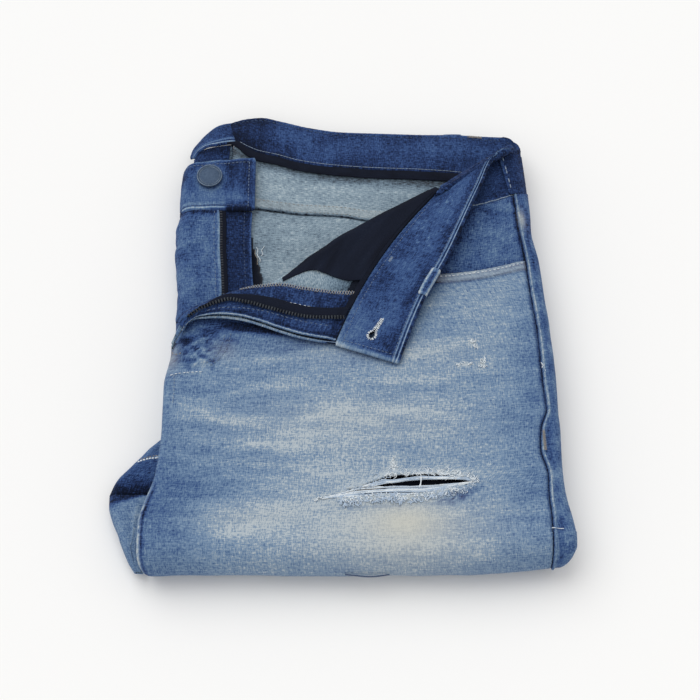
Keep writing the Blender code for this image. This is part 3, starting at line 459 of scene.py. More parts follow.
def tubes(name, paths, radii, sides, skin):
    # round threads: a ring of points about every point of each path, closed by a point at each end
    threads, points = paths.shape[:2]
    forward = unit(np.gradient(paths, axis=1))
    side = unit(np.cross(forward, np.where(np.abs(forward[..., 2:]) > 0.9, [1, 0, 0], [0, 0, 1])))
    rings = paths[:, :, None] + radii[:, :, None, None] * around(side, np.cross(side, forward), sides)
    places = np.concatenate([rings.reshape(threads, -1, 3), paths[:, [0, -1]]], axis=1)
    faces = [f for kind in ringFaces(points, sides) for f in copies(kind, threads, points * sides + 2).tolist()]
    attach(meshOf(name, places.reshape(-1, 3), faces, [skin]), "root")


def lineOn(grid, marks, count):
    # points and normals along a line on a grid through marks, as shares of its rows and columns
    marks = np.asarray(marks, float)
    place = cubic(steps(len(marks)), marks, steps(count))
    rows, columns = grid.shape[:2]
    r, c = place[:, 0] * (rows - 1), place[:, 1] * (columns - 1)
    i, j = np.clip(r.astype(int), 0, rows - 2), np.clip(c.astype(int), 0, columns - 2)
    f, g = (r - i)[:, None], (c - j)[:, None]

    def blend(values):
        return ((values[i, j] * (1 - g) + values[i, j + 1] * g) * (1 - f)
                + (values[i + 1, j] * (1 - g) + values[i + 1, j + 1] * g) * f)

    return blend(grid), unit(blend(normalsOf(grid)))


beadShares = ((-0.72, 0.62), (-0.3, 1), (0.3, 1), (0.72, 0.62))
beadSides = 6


def beadsAlong(line, pitch, length, radius, slant=0, lift=0.25, wobble=0.1, seed=1):
    # one short closed bead for each pitch of a line, half sunk in the cloth and turned by the slant
    dice = np.random.default_rng(seed)
    points, normals = line
    run = runOf(points)
    marks = np.arange(pitch / 2, run[-1], pitch)
    marks = marks + dice.uniform(-wobble, wobble, len(marks)) * pitch
    middle, forward, up = between(marks, run, points, np.gradient(points, run, axis=0), normals)
    forward, up = unit(forward), unit(up)
    side = unit(np.cross(forward, up))
    turn = np.radians(slant)
    ahead = forward * np.cos(turn) + side * np.sin(turn)
    side = side * np.cos(turn) - forward * np.sin(turn)
    reach = ahead * length / 2 * dice.uniform(0.85, 1.1, (len(middle), 1))
    middle = middle + up * radius * lift
    rings = [(middle + reach * share)[:, None] + radius * wide * around(side, up, beadSides)
             for share, wide in beadShares]
    points = np.concatenate([*rings, (middle - reach)[:, None], (middle + reach)[:, None]], axis=1)
    quads, *fans = [np.roll(f[:, ::-1], 1, axis=1) for f in ringFaces(len(beadShares), beadSides)]
    count, size = points.shape[:2]
    return points.reshape(-1, 3), copies(quads, count, size), copies(np.concatenate(fans), count, size)


stitchGroups = {}


def sew(group, *args, **settings):
    # keeps the stitches of one thread together, to be joined in one mesh at the end
    stitchGroups.setdefault(group, []).append(beadsAlong(*args, **settings))


def joinStitches(name, skin):
    points, faces, start = [], [], 0
    for p, quads, caps in stitchGroups[name]:
        points.append(p)
        faces += (quads + start).tolist() + (caps + start).tolist()
        start += len(p)
    made = meshOf(name, np.concatenate(points), faces, [skin])
    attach(made, "root")
    return made


def standIn(piece, node):
    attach(piece, "root")
    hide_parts(node)


leastCut = 10.5     # narrow tapes run on under their neighbours, so none is cut narrower than this


def declare(piece, node, grid):
    # how the cloth was cut: its width and length (root mean square of its lines) and its area
    standIn(piece, node)
    width, length = [max(leastCut, np.sqrt((gaps(grid, k).sum(axis=k) ** 2).mean())) for k in (1, 0)]
    a, b = grid[1:, 1:] - grid[:-1, :-1], grid[1:, :-1] - grid[:-1, 1:]
    area = np.clip(np.linalg.norm(np.cross(a, b), axis=-1).sum() / 2, 0.305 * width * length, width * length)
    print(piece.name, "cut", round(width), "by", round(length), "mm, share", round(area / width / length, 2))


def cloth(name, node, slot, grid, thickness, skins, tone, stain=0, on="hidden_layers",
          span=(0.04, 0.95), **more):
    # a shell for one solid, its tone kept within the span
    piece = shell(name, grid, thickness, skins, tone if span is None else np.clip(tone, *span), stain, **more)
    declare(piece, node, grid)


# the outer leg: places, outline and height

leg = {
    "denim": 1.3, "noseY": -150, "noseReach": 18, "noseHalf": 15.4, "backTurnY": 132, "backTurnRadius": 4,
    "meetingY": -45, "cornerFootY": -15.5, "foldSetback": 1,
    "rollColumns": 12, "topColumns": 150, "meetingRows": 72,
}
topHeight = ((-150, 30.8), (-130, 30.6), (-60, 29.7), (0, 28.9), (45, 28.3), (110, 27.5))
topOutline = (
    # y, left, outseam, right
    (-150, -124, 129, 144.2), (-140, -124, 129, 142.6), (-125, -120.5, 128, 140), (-108, -115, 128, 138.5),
    (-90, -112.8, 124, 138), (-76, -112, 125, 138), (-62, -112, 129, 137.5), (-45, -112, 127.5, 137),
    (-20, -108.3, 126.5, 136), (0, -109, 125, 134.5), (26, -109, 122, 132), (48, -109, 120, 130),
    (68, -109, 117, 126.5), (98, -109, 114, 125),
)
noseOutline = (
    # angle, left, outseam, right
    (72, -124, 129, 144.65), (48, -123.5, 129, 144.65), (24, -122.5, 128.8, 143),
    (0, -121, 128.5, 141), (-24, -119.5, 128, 138.5), (-48, -118.5, 127.5, 136.5), (-72, -118, 127, 135.5),
)
undersideOutline = (
    # y, left, outseam, right
    (-138, -118, 127, 135), (-70, -112.5, 126, 133), (0, -107, 124, 131),
    (70, -106, 121, 127), (132, -101, 117, 122),
)
rightRoll = ((6.6, 180), (5, 180), (3.2, 180), (2.4, 80))    # radius and turn of the side rolls: top,
leftRoll = ((4.5, 180), (4.5, 180), (3.2, 180), (2.4, 80))     # leg fold, underside and its end
pocketOpening = ((36, 69), (43, 54), (52, 42), (66, 35.5), (85, 37.5), (104, 41.5), (119.5, 46))

# creases of the worn cloth: from x, y to x, y, half width, height, bow
legCreases = (
    (-104, -62, -2, -76, 5, 0.55, 3), (-36, -62, 84, -78, 4.5, 0.5, -3), (-40, -80, 8, -87, 3.5, 0.35, 1),
    (-66, -8, 40, -20, 5, 0.45, -2), (20, -22, 92, -12, 5, 0.35, 3), (-60, -40, 20, -46, 6, -0.4, 2),
    (30, -56, 110, -48, 6, -0.4, -2), (-100, -98, -30, -104, 6, -0.35, 2), (-84, -132, -20, -128, 6, 0.4, 2),
    (88, -100, 124, -106, 4.5, 0.4, 1), (84, -132, 126, -138, 5, -0.45, 1), (-105, -7, -72, -16, 2.6, 0.9, 1.5),
    (-104, -13, -76, -24, 2.4, -0.8, -1.5), (-106, -20, -80, -31, 2.4, 0.85, 1),
    (-92, -9, -86, -30, 2.2, 0.7, 1), (-79, -8, -76, -28, 2.2, -0.6, -1), (-107, -31, -86, -34, 2, -0.7, 0.5),
    (-108, -38, -86, -35, 1.7, 0.7, -0.5), (66, 30, 118, 36, 4, 0.35, 1), (108, 4, 126, -6, 4, 0.5, 0.5),
    (104, -38, 126, -46, 4, 0.45, 0.5), (100, -70, 125, -84, 4, -0.45, 0.5),
)
legSwells = (
    # x, y, half sizes, turn, height
    (-20, -60, 80, 46, 0, 0.6), (60, -20, 50, 30, 0, 0.4), (-70, -120, 40, 26, 0, -0.5),
    (106, -60, 18, 60, 0, 0.3),
)


def legTop(x, y):
    # height of the leg's upper face: the pile's own height with swells, creases and a faint ripple
    ripple = 0.14 * noise(x / 17 + 3, y / 11 + 5, 4) + 0.06 * noise(x / 5, y / 4, 5)
    return at(topHeight, y) + spots(x, y, legSwells) + bells(x, y, legCreases) + ripple


def sideRoll(table, stage, count):
    # radius, inward depth and sideways reach of a side roll: a part of a circle from its top to its end
    radius, turn = [np.interp(stage, range(4), sizes) for sizes in zip(*table)]
    angle = np.radians(np.linspace(0, turn, count))
    return radius, radius * (1 - np.cos(angle)), radius * np.sin(angle)


def wrapRows(north):
    # rows of the outer leg: place, outward direction, outline and stage, from the waist down, round the
    # half ellipse of the leg fold, back along the underside and up a quarter circle at the waist end
    rows = [((y, at(topHeight, y)), (0, 1), rowAt(topOutline, y), 0) for y in north]
    for angle in np.arange(86, -87, -4):
        a = np.radians(angle)
        where = (leg["noseY"] - leg["noseReach"] * np.cos(a), leg["noseHalf"] * (1 + np.sin(a)))
        out = unit(np.array([-np.cos(a) / leg["noseReach"], np.sin(a) / leg["noseHalf"]]))
        stage = np.interp(-angle, (-86, -60, 60, 86), (0.3, 1, 1, 1.7))
        rows.append((where, out, rowAt(noseOutline, angle), stage))
    rows += [((y, 0), (0, -1), rowAt(undersideOutline, y), 2)
             for y in np.arange(-138, leg["backTurnY"] + 0.1, 9)]
    for angle in np.arange(-72, 85, 13):
        out = (np.cos(np.radians(angle)), np.sin(np.radians(angle)))
        where = (leg["backTurnY"] + leg["backTurnRadius"] * out[0], leg["backTurnRadius"] * (1 + out[1]))
        stage = np.interp(angle, (-72, -20), (2.3, 3))
        rows.append((where, out, rowAt(undersideOutline, leg["backTurnY"]), stage))
    return rows


def placeRow(row, x, depth):
    # points of one row at x and at a depth inward of its face
    (y, z), (outY, outZ) = row[:2]
    depth = depth + 0 * x
    return stack(x, y - outY * depth, z - outZ * depth)


# the fold of the turned-back corner

foldRows = (
    # edge x, y, z, fold x, y, roll, facing to, tape from, tape to, bag from
    (-107, -20, 28, -108, -15.5, 1.4, 1.4, 0.6, 1, 1.3), (-102, -6, 31.8, -101.5, 1, 3, 1.5, 0.7, 1.2, 1.3),
    (-94, 0, 32.6, -89, 9.5, 3.6, 1.5, 0.9, 1.4, 1.3), (-80, 1, 33.4, -76, 15.5, 4, 1.45, 0.9, 1.35, 1.2),
    (-64, -1, 34, -62, 20.5, 4.2, 1.25, 0.62, 1.1, 1.1), (-51, -5, 34, -46, 26.5, 4.2, 1, 0.4, 0.82, 1),
    (-38, -10, 34, -25, 41, 4.2, 0.66, 0.25, 0.5, 0.87),
    (-25, -14, 33.6, -4, 58.5, 4.2, 0.48, 0.19, 0.36, 0.64),
    (-12, -16.5, 33.2, 25, 77, 4.2, 0.37, 0.165, 0.29, 0.46),
    (-3, -17.5, 33, 64, 100.5, 4.2, 0.29, 0.14, 0.24, 0.36),
)
foldBow = (0, 0, 0, 0, 0, 0, 0, 1, 3, 7)
foldIndex = np.arange(len(foldRows), dtype=float)
foldTable = np.array(foldRows)
lastFold = foldIndex[-1]


def foldShare(s, column):
    return cubic(foldIndex, foldTable[:, column], s)


def foldFrame(s):
    # free edge, foot of the roll, outward direction, radius and bow of the turned-back corner at s
    s = np.asarray(s, float)
    run = np.gradient(foldTable[:, 3:5], axis=0)
    out = unit(cubic(foldIndex, unit(stack(-run[:, 1], run[:, 0])), s))
    radius = foldShare(s, 5)[..., None]
    bow = cubic(foldIndex, foldBow, s)[..., None]
    return foldShare(s, slice(3)), foldShare(s, slice(3, 5)) - out * radius, out, radius, bow


def cornerSurface(s, t):
    # wrong side of the turned-back panel: from the free edge it rises to the top of the roll (t from 0
    # to 1), then goes round half a circle to the layer below (t from 1 to 2)
    s, t = np.broadcast_arrays(np.asarray(s, float), np.asarray(t, float))
    edge, foot, out, radius, bow = foldFrame(s)
    low = at(topHeight, foot[..., 1])[..., None] - 1.4
    f = np.clip(t, 0, 1)[..., None]
    top = np.concatenate([foot, low + 2 * radius], axis=-1)
    across = unit(foot - edge[..., :2])
    side = stack(-across[..., 1], across[..., 0])
    flat = edge + (top - edge) * f
    flat[..., 2:] = edge[..., 2:] + (top - edge)[..., 2:] * (1 - (1 - f) ** 2)
    flat[..., :2] += side * bow * 4 * f * (1 - f)
    angle = np.radians(90 - 180 * (np.clip(t, 1, 2) - 1))[..., None]
    rolled = np.concatenate([foot + out * radius * np.cos(angle), low + radius * (1 + np.sin(angle))], axis=-1)
    return np.where(t[..., None] <= 1, flat, rolled)


flapOuterEdge = (
    # share of the length, x, y, z
    (0, 36, -31, 33.4), (0.2, 46, -3, 36.6), (0.4, 55, 18, 39), (0.6, 67, 40, 40.6),
    (0.8, 84, 80, 40.6), (0.88, 91.5, 98.5, 38.8), (0.95, 102, 124, 35.4), (1, 114.5, 132.6, 31.9),
)


# tone of the worn leg

legStreaks = (
    # whiskers and wear: from x, y to x, y, half width, change of tone, bow
    (-84, -10, 40, -24, 4, 0.11, -4), (10, -26, 96, -8, 4.5, 0.09, 3), (-30, -58, 92, -74, 4, 0.13, -3),
    (-10, -68, 30, -72, 3.2, 0.08, 0), (-110, -56, -40, -76, 4.5, 0.1, 3), (-80, -84, 6, -88, 2.6, 0.1, 1),
    (-40, -80, 20, -84, 2.2, 0.08, 0), (-38, -101, 40, -97, 3, 0.07, 1), (-90, -134, -20, -128, 4.5, 0.12, 2),
    (-84, -146, -30, -138, 5, 0.12, 2), (-70, -34, -2, -20, 3, 0.15, -2), (-78, -55, -28, -45, 2.8, 0.13, -1.5),
    (-112, -67, -55, -72, 2.6, 0.16, 1), (-30, -71, 8, -65, 3.4, 0.22, 0.5), (-42, -80, 12, -78, 2.4, 0.18, 0),
    (-66, -89, -14, -85, 2.6, 0.2, 0.5), (24, -43, 76, -38, 2.6, 0.15, 0.5), (18, -64, 88, -60, 2.8, 0.14, 0.5),
    (36, -27, 78, -17, 2.6, 0.14, 1), (-58, -101, -26, -102, 2, 0.14, 0), (-30, -104, -6, -109, 2, 0.16, 0),
    (-80, -147, -36, -140, 3.4, 0.14, 1), (-60, -128, -10, -130, 2.4, 0.12, 0),
    (40, -100, 120, -104, 3, 0.05, 1), (-104, -47, -10, -54, 4, -0.07, 2), (-60, -64, -8, -66, 3, -0.08, 0),
    (-96, -92, -34, -96, 5, -0.1, 1), (30, -44, 112, -56, 6, -0.06, 2), (20, -88, 110, -92, 4, -0.05, 0),
    (-112, -112, -50, -116, 6, -0.09, 2),
)
# Painted shade under the corner's edge and foot, beside and below the flap, under the fringe and on the fold's
# front.
# Worn pale patches, nicks, the tuft, dye blots and spots on the crumpled place, darker towards both sides.
legBlotsAndShade = (
    # x, y, half sizes, turn, change of tone
    (20, -20, 70, 34, 0, 0.08), (20, -60, 70, 36, 0, 0.11), (14, -92, 74, 24, 0, 0.16),
    (20, -112, 50, 16, 0, 0.12), (44, -138, 50, 24, 0, 0.14), (38, -140, 22, 12, 0, 0.1),
    (40, -158, 60, 12, 0, 0.16), (-22, -148, 60, 22, 0, 0.2), (-12, -130, 40, 14, 0, 0.1),
    (100, -142, 22, 18, 0, 0.1), (-50, -13, 38, 11, -4, -0.15), (-60, -4.5, 22, 3.2, -8, -0.5),
    (-98, -13, 7, 3.2, 12, -0.42), (-96, -26, 2.6, 7.5, -8, -0.34), (-84, -8.5, 6, 3.6, 0, -0.34),
    (-71, -14, 3.5, 3.5, 0, -0.26), (-87, -20, 3.4, 3, 0, 0.26), (-87, -32, 1.8, 4.6, 0, 0.3),
    (-93, -33, 1.4, 4, 0, 0.18), (-108, -27, 4.5, 8, 0, -0.06), (104, -4, 20, 20, 0, 0.09),
    (-33, -24, 24, 7, 0, -0.11), (-62, -20, 22, 14, -10, -0.1), (8, -28, 12, 5, -20, -0.1),
    (124, -44, 10, 26, 0, -0.1), (92, -112, 16, 10, 0, 0.1), (26, -101, 26, 9, 0, -0.13),
    (33, -100, 1.7, 5, -8, 0.46), (84.5, -16, 2.2, 1.8, 0, 0.34), (90, -30, 2, 3.4, -20, 0.24),
    (78, -31.5, 5, 1.2, 0, 0.22), (28, -129.4, 38, 1.1, 3, -0.2), (120, 78, 1.6, 4.4, 15, 0.26),
    (96, 16, 26, 14, 0, 0.05), (-112, -80, 16, 60, 0, -0.14), (-112, -140, 26, 34, 20, -0.2),
    (-80, -112, 30, 14, 0, -0.06), (118, -30, 12, 60, 0, -0.1), (116, -112, 14, 30, 0, -0.12),
    (108, -150, 22, 18, 0, -0.1), (-92, -20, 19, 15, 0, -0.2), (-60, -6, 40, 7, -5, -0.08),
    (-40, -174, 60, 8, 0, -0.06), (64, 22, 40, 10, 0, 0.05), (52, 44, 10, 20, 30, -0.3),
    (20, 4, 16, 20, 60, -0.26),
)
legStains = (
    # x, y, half sizes, turn, warmth
    (40, -139, 22, 12, 0, 0.42), (38, -146, 44, 22, 0, 0.36), (10, -70, 60, 16, 0, 0.1),
    (20, -22, 60, 10, 0, 0.08), (-50, -136, 30, 9, 6, 0.1), (-108, -26, 4.5, 9, 0, 0.3),
    (-74, -22, 8, 7, 0, 0.14),
)


def legTone(x, y):
    # middle tone, whiskers, blots, cloud, the crumple's painted light, less the painted shade of the corner and
    # its waistband
    cloud = mottle(x, y, (0.07, 30, 7, 11), (0.05, 17, 2.6, 12), (0.03, 6, 1.6, 14))
    crumple = spots(x, y, ((-91, -22, 17, 13, 0, 1),))
    # painted light and shade on the crumple: the noise of its bumps, so raised cloth is lighter and hollows
    # darker
    crumpleShading = mottle(x, y, (0.4, 3.1, 2.6, 15), (0.26, 1.4, 1.3, 16)) - 0.06
    below = np.interp(x, foldTable[:, 0], foldTable[:, 1]) - y
    shade = 0.34 * np.exp(-(np.maximum(below, 0) / 3.4) ** 1.4) * (below > -4) * fade(-x, -6, 12)
    beside = x - at([(r[2], r[1]) for r in flapOuterEdge], y)
    shade = shade + 0.3 * np.exp(-(np.maximum(beside, 0) / 2.4) ** 1.5) * (beside > -6) * fade(y, -31, -27)
    foot = np.interp(x, (-3, 36), (-18.5, -31.5)) - y
    shade = shade + 0.28 * np.exp(-(np.maximum(foot, 0) / 2.2) ** 1.5) * (foot > -5) * fade(x, -6, 0) * (x < 37)
    return 0.635 + bells(x, y, legStreaks) + spots(x, y, legBlotsAndShade) + cloud + crumple * crumpleShading - shade


def footBend(grid):
    # the leg fold isn't straight: towards the outseam it lies a little nearer the waist
    grid = grid.copy()
    x, y = plan(grid)
    grid[..., 1] += 7 * np.clip((x - 50) / 94, 0, 1) ** 2 * fade(-y, 105, 160)
    return grid


# left front of the outer leg, with the rip

rip = {      # reach: how far up and down the cloth gives way to the hole
    "middle": -118, "reach": 12, "bend": 16, "left": -14, "right": 84, "ragged": 0.75, "lipRise": 1.1,
    "lipWidth": 3.2, "lipFade": 0.44,
}
ripShape = (
    # x, middle y, half height
    (-60, -118, 0), (-14, -124.3, 0), (-4, -123, 1), (9, -120.4, 3), (20, -118, 4.6),
    (31, -115.4, 6.4), (50, -114.6, 6.6), (66, -113, 4.6), (76, -112.8, 2.8), (84, -112.9, 0), (112, -118, 0),
)
pocketHem = {"width": 6, "rise": 0.75, "tone": -0.16, "warmth": 0.2, "edgeTone": 0.42}


def ripMiddle(x):
    return at(ripShape, x)


def ripHalf(x, side):
    # half height of the hole with ragged lips, different on each side
    inside = (x > rip["left"]) & (x < rip["right"])
    ragged = rip["ragged"] * (noise(x / 2.1, x * 0 + side * 7.3, 21) + 0.7 * noise(x / 5.3, x * 0 + side, 22))
    half = at(ripShape, x, 2)
    return np.where(inside, np.maximum(half + ragged * np.clip(half / 2, 0, 1), 0), 0)


def makeLegFront():
    _, foot, out, _, _ = foldFrame(np.arange(1, lastFold))
    north = np.vstack([foot - out * leg["foldSetback"], np.array(pocketOpening)])
    north[-1, 0] = at(topOutline, north[-1, 1], 2)
    index = np.arange(len(north), dtype=float)
    spread = np.linspace(0, index[-1], 40)
    run = runOf(cubic(index, north, spread))
    column = np.interp(np.linspace(0, run[-1], leg["topColumns"]), run, spread)
    north = cubic(index, north, column)
    shares = 0.045 + 0.955 * column / index[-1]
    lowLeft, lowSeam, _ = rowAt(topOutline, leg["meetingY"])
    lowX = lowLeft + (lowSeam - lowLeft) * shares
    grid = []
    joinSteps = steps(6)[1:-1, None]

    def addRow(row, top):
        # the side roll, a few steps and the row's upper part
        radius, depth, reach = sideRoll(leftRoll, row[3], leg["rollColumns"])
        roll = placeRow(row, row[2][0] + radius - reach[::-1], depth[::-1])
        grid.append(np.vstack([roll, roll[-1] + (top[0] - roll[-1]) * joinSteps, top]))

    hemRows = leg["meetingRows"]
    for f in np.linspace(0, 1, hemRows, endpoint=False):
        x = north[:, 0] + (lowX - north[:, 0]) * f
        y = north[:, 1] + (leg["meetingY"] - north[:, 1]) * f
        x[-1] = at(topOutline, y[-1], 2)
        addRow(wrapRows([leg["cornerFootY"] + (leg["meetingY"] - leg["cornerFootY"]) * f])[0],
               stack(x, y, at(topHeight, y)))
    lowerY = np.concatenate([np.linspace(leg["meetingY"], rip["middle"] + 0.15, 60),
                             np.linspace(rip["middle"] - 0.15, leg["noseY"], 26)])
    for row in wrapRows(lowerY):
        left, seam, _ = row[2]
        addRow(row, placeRow(row, left + (seam - left) * shares, 0))
    grid = np.array(grid)
    flatRows = hemRows + len(lowerY)
    lead = leg["rollColumns"] + len(joinSteps)
    hemPart = slice(hemRows), slice(lead, None)
    ripPart = slice(hemRows, flatRows), slice(lead, None)

    # the rip: rows bend to its middle line and part round the hole
    x, y = plan(grid)
    ripX, offset = x[ripPart], y[ripPart] - rip["middle"]
    half = np.where(offset > 0, ripHalf(ripX, 1), -ripHalf(ripX, 2))
    lip = bell(np.maximum(np.abs(offset) - 0.1, 0), 0, rip["lipWidth"]) * np.clip(np.abs(half) / 2, 0, 1)
    y[ripPart] += (ripMiddle(ripX) - rip["middle"]) * bell(offset, 0, rip["bend"])
    y[ripPart] += half * bell(offset, 0, rip["reach"])

    # height of the top, eased into the roll at the left and into the leg fold
    ease = np.ones_like(x)
    ease[:, :lead] = np.linspace(-0.6, 1, lead).clip(0, 1)
    ease[flatRows:] = 0
    ease[flatRows - 8:flatRows] *= np.linspace(1, 0.25, 8)[:, None]
    grid[..., 2] += (legTop(x, y) - at(topHeight, y)) * ease
    grid[..., 2][ripPart] += rip["lipRise"] * lip

    # creases go on round the leg fold and the underside as faint ripples
    nose = slice(flatRows, flatRows + 43)
    ripple = 0.5 * noise(x / 16, countAlong(x) / 14, 31)
    grid[nose] += (normalsOf(grid) * ripple[..., None])[nose] * arch(steps(43))[:, None, None]

    # hem of the hidden pocket
    hemX = x[hemPart]
    hemColumn = fade(column, 8.6, 9.4)
    fromEdge = north[:, 1] - y[hemPart]
    hem = (1 - fade(fromEdge, pocketHem["width"], pocketHem["width"] + 1.2)) * hemColumn
    groove = bell(fromEdge, pocketHem["width"] + 0.9, 0.8) * hemColumn
    pucker = 0.16 * np.sin(hemX * 2 * np.pi / 3.1) * hem
    grid[..., 2][hemPart] += hem * pocketHem["rise"] - 0.35 * groove + pucker
    # the cloth dips where the outseam rides over it
    fromSeam = x[:flatRows, -1:] - x[:flatRows]
    grid[:flatRows, :, 2] -= 0.8 * bell(fromSeam, 0, 2.2)

    grid = footBend(grid)
    tone = legTone(x, y)
    crumple = spots(x, y, ((-91, -22, 16, 12, 0, 1),))
    grid[..., 2] += crumple * mottle(x, y, (0.9, 3.1, 2.6, 15), (0.3, 1.4, 1.3, 16)) * ease
    # the lips are worn white, the lower one stays blue at its right end
    open = np.clip(at(ripShape, ripX, 2) / 2.5, 0, 1)
    blot = 0.75 + 0.5 * noise(ripX / 2.3, offset / 1.5, 34)
    tone[ripPart] += rip["lipFade"] * bell(offset, 0, np.where(offset > 0, 4.2, 5)) * open * blot
    tone[ripPart] -= 0.62 * spots(ripX, offset, ((72, -6, 12, 5, 8, 1),)) * (offset < 0) * (2 * blot - 0.6)
    edgeLine = bell(fromEdge, 0.3 + 0.5 * noise(hemX / 2.4, fromEdge * 0, 35), 0.8) * hemColumn
    edgeLine += 0.55 * bell(fromEdge, 4.2 + 0.4 * noise(hemX / 3, fromEdge * 0, 36), 0.7) * hemColumn
    # the hem's own darker tone and pale worn edge lines, with painted shade in the groove below it
    tone[hemPart] += (hem * pocketHem["tone"] - 0.22 * groove + pocketHem["edgeTone"] * edgeLine
                      + 0.1 * hem * noise(hemX / 1.2, fromEdge / 3, 33))
    # painted shade where the outseam rides over the cloth
    tone[:flatRows] -= 0.3 * bell(fromSeam, 0, 1.3)
    # the inseam's ridge at the left end of the leg fold, worn pale and warm, with painted shadow beside it
    fromLeft = grid[..., 0] - grid[..., 0].min(axis=1, keepdims=True)
    ridge = fade(-y, 112, 122) * (countAcross(x) > 4) * (countAlong(x) < flatRows + 26)
    cord = bell(fromLeft, 1.1 + 0.25 * noise(y / 5, fromLeft * 0, 37), 0.85) * ridge
    cord = cord * (0.66 + 0.75 * noise(y / 1.9, fromLeft * 0.8, 38))
    tone += 0.54 * cord - 0.4 * bell(fromLeft, 3.2, 1.2) * ridge
    under = np.zeros((len(grid), 1))
    under[flatRows:, 0] = steps(len(grid) - flatRows)
    tone = tone * (1 - under) + under * (0.55 + 0.05 * noise(x / 20, y / 14, 13))
    stain = spots(x, y, legStains)
    stain[flatRows + 30:] = 0
    stain += 0.3 * np.clip(cord, 0, 1)
    stain[hemPart] += hem * pocketHem["warmth"]

    # faces, left out where the rip is open; columns run right to left so that the face looks out
    hole = np.zeros((len(grid) - 1, grid.shape[1] - 1), bool)
    line = hemRows + 59
    middle = (grid[line, 1:, 0] + grid[line, :-1, 0]) / 2
    apart = grid[line, :-1, 1] - grid[line + 1, :-1, 1] > 0.9
    hole[line] = apart & (middle > rip["left"]) & (middle < rip["right"])
    grid, tone, stain, keep = grid[:, ::-1], tone[:, ::-1], stain[:, ::-1], ~hole[:, ::-1].reshape(-1)
    piece = meshOf("legFront", grid.reshape(-1, 3), quadsOf(*tone.shape)[keep], [denim, wrongSide],
                   uv=clothMap(grid, row=flatRows).reshape(-1, 2), tone=np.clip(tone, 0.02, 0.98).reshape(-1),
                   stain=np.clip(stain, 0, 0.8).reshape(-1))
    wall = piece.modifiers.new("wall", "SOLIDIFY")
    wall.thickness, wall.offset, wall.material_offset = leg["denim"] * mm, -1, 1
    declare(piece, "left_front", grid)


makeLegFront()
print("left front ready")


# the white weft across the rip and the frayed lips

fray = {"wefts": 30, "lanes": 4, "upperWefts": 22, "weftRadius": 0.4, "lipHairs": 150, "fringeHairs": 230}
bundleTop = ((-14, 0.9), (8, 0.95), (20, 0.42), (31, -0.04), (50, -0.06), (66, -0.3), (84, -0.3))
upperFoot = ((10, 0.7), (20, 0.3), (31, 0.22), (42, 0.4), (50, 0.48), (66, 0.36), (76, 0.36), (84, 0.5))
upperTop = ((10, 0.97), (24, 0.9), (31, 0.56), (42, 0.7), (50, 0.82), (62, 0.7), (72, 0.97), (84, 0.97))
hairPatches = (
    # x, y, half sizes, turn, hairs, lean: nicks, the tuft and the ends of the rip
    (84, -15, 2, 1.2, 20, 11, 90), (85.5, -18, 1.2, 2, 0, 7, 80), (91, -28, 0.9, 2, 0, 8, 90),
    (90, -33, 2.4, 0.8, 10, 9, 0), (82, -31, 3, 0.5, -10, 6, 0), (74, -31, 3, 0.5, 10, 6, 0),
    (33, -104, 2, 2.6, 0, 14, 90), (32.5, -99, 1.2, 4, 0, 12, 95), (-14, -124.5, 3, 0.8, 12, 8, 5),
    (84, -112.6, 2.4, 0.8, -10, 8, 170), (128, -32, 0.5, 2.4, 0, 3, 80),
)
strands = (
    # from x, y to x, y, bow, radius
    (49.6, -110, 48.6, -117, 0.5, 0.46), (128.5, -144, 136, -144.5, -0.4, 0.2),
    (127.2, -30, 129.8, -36, 0.5, 0.22),
)


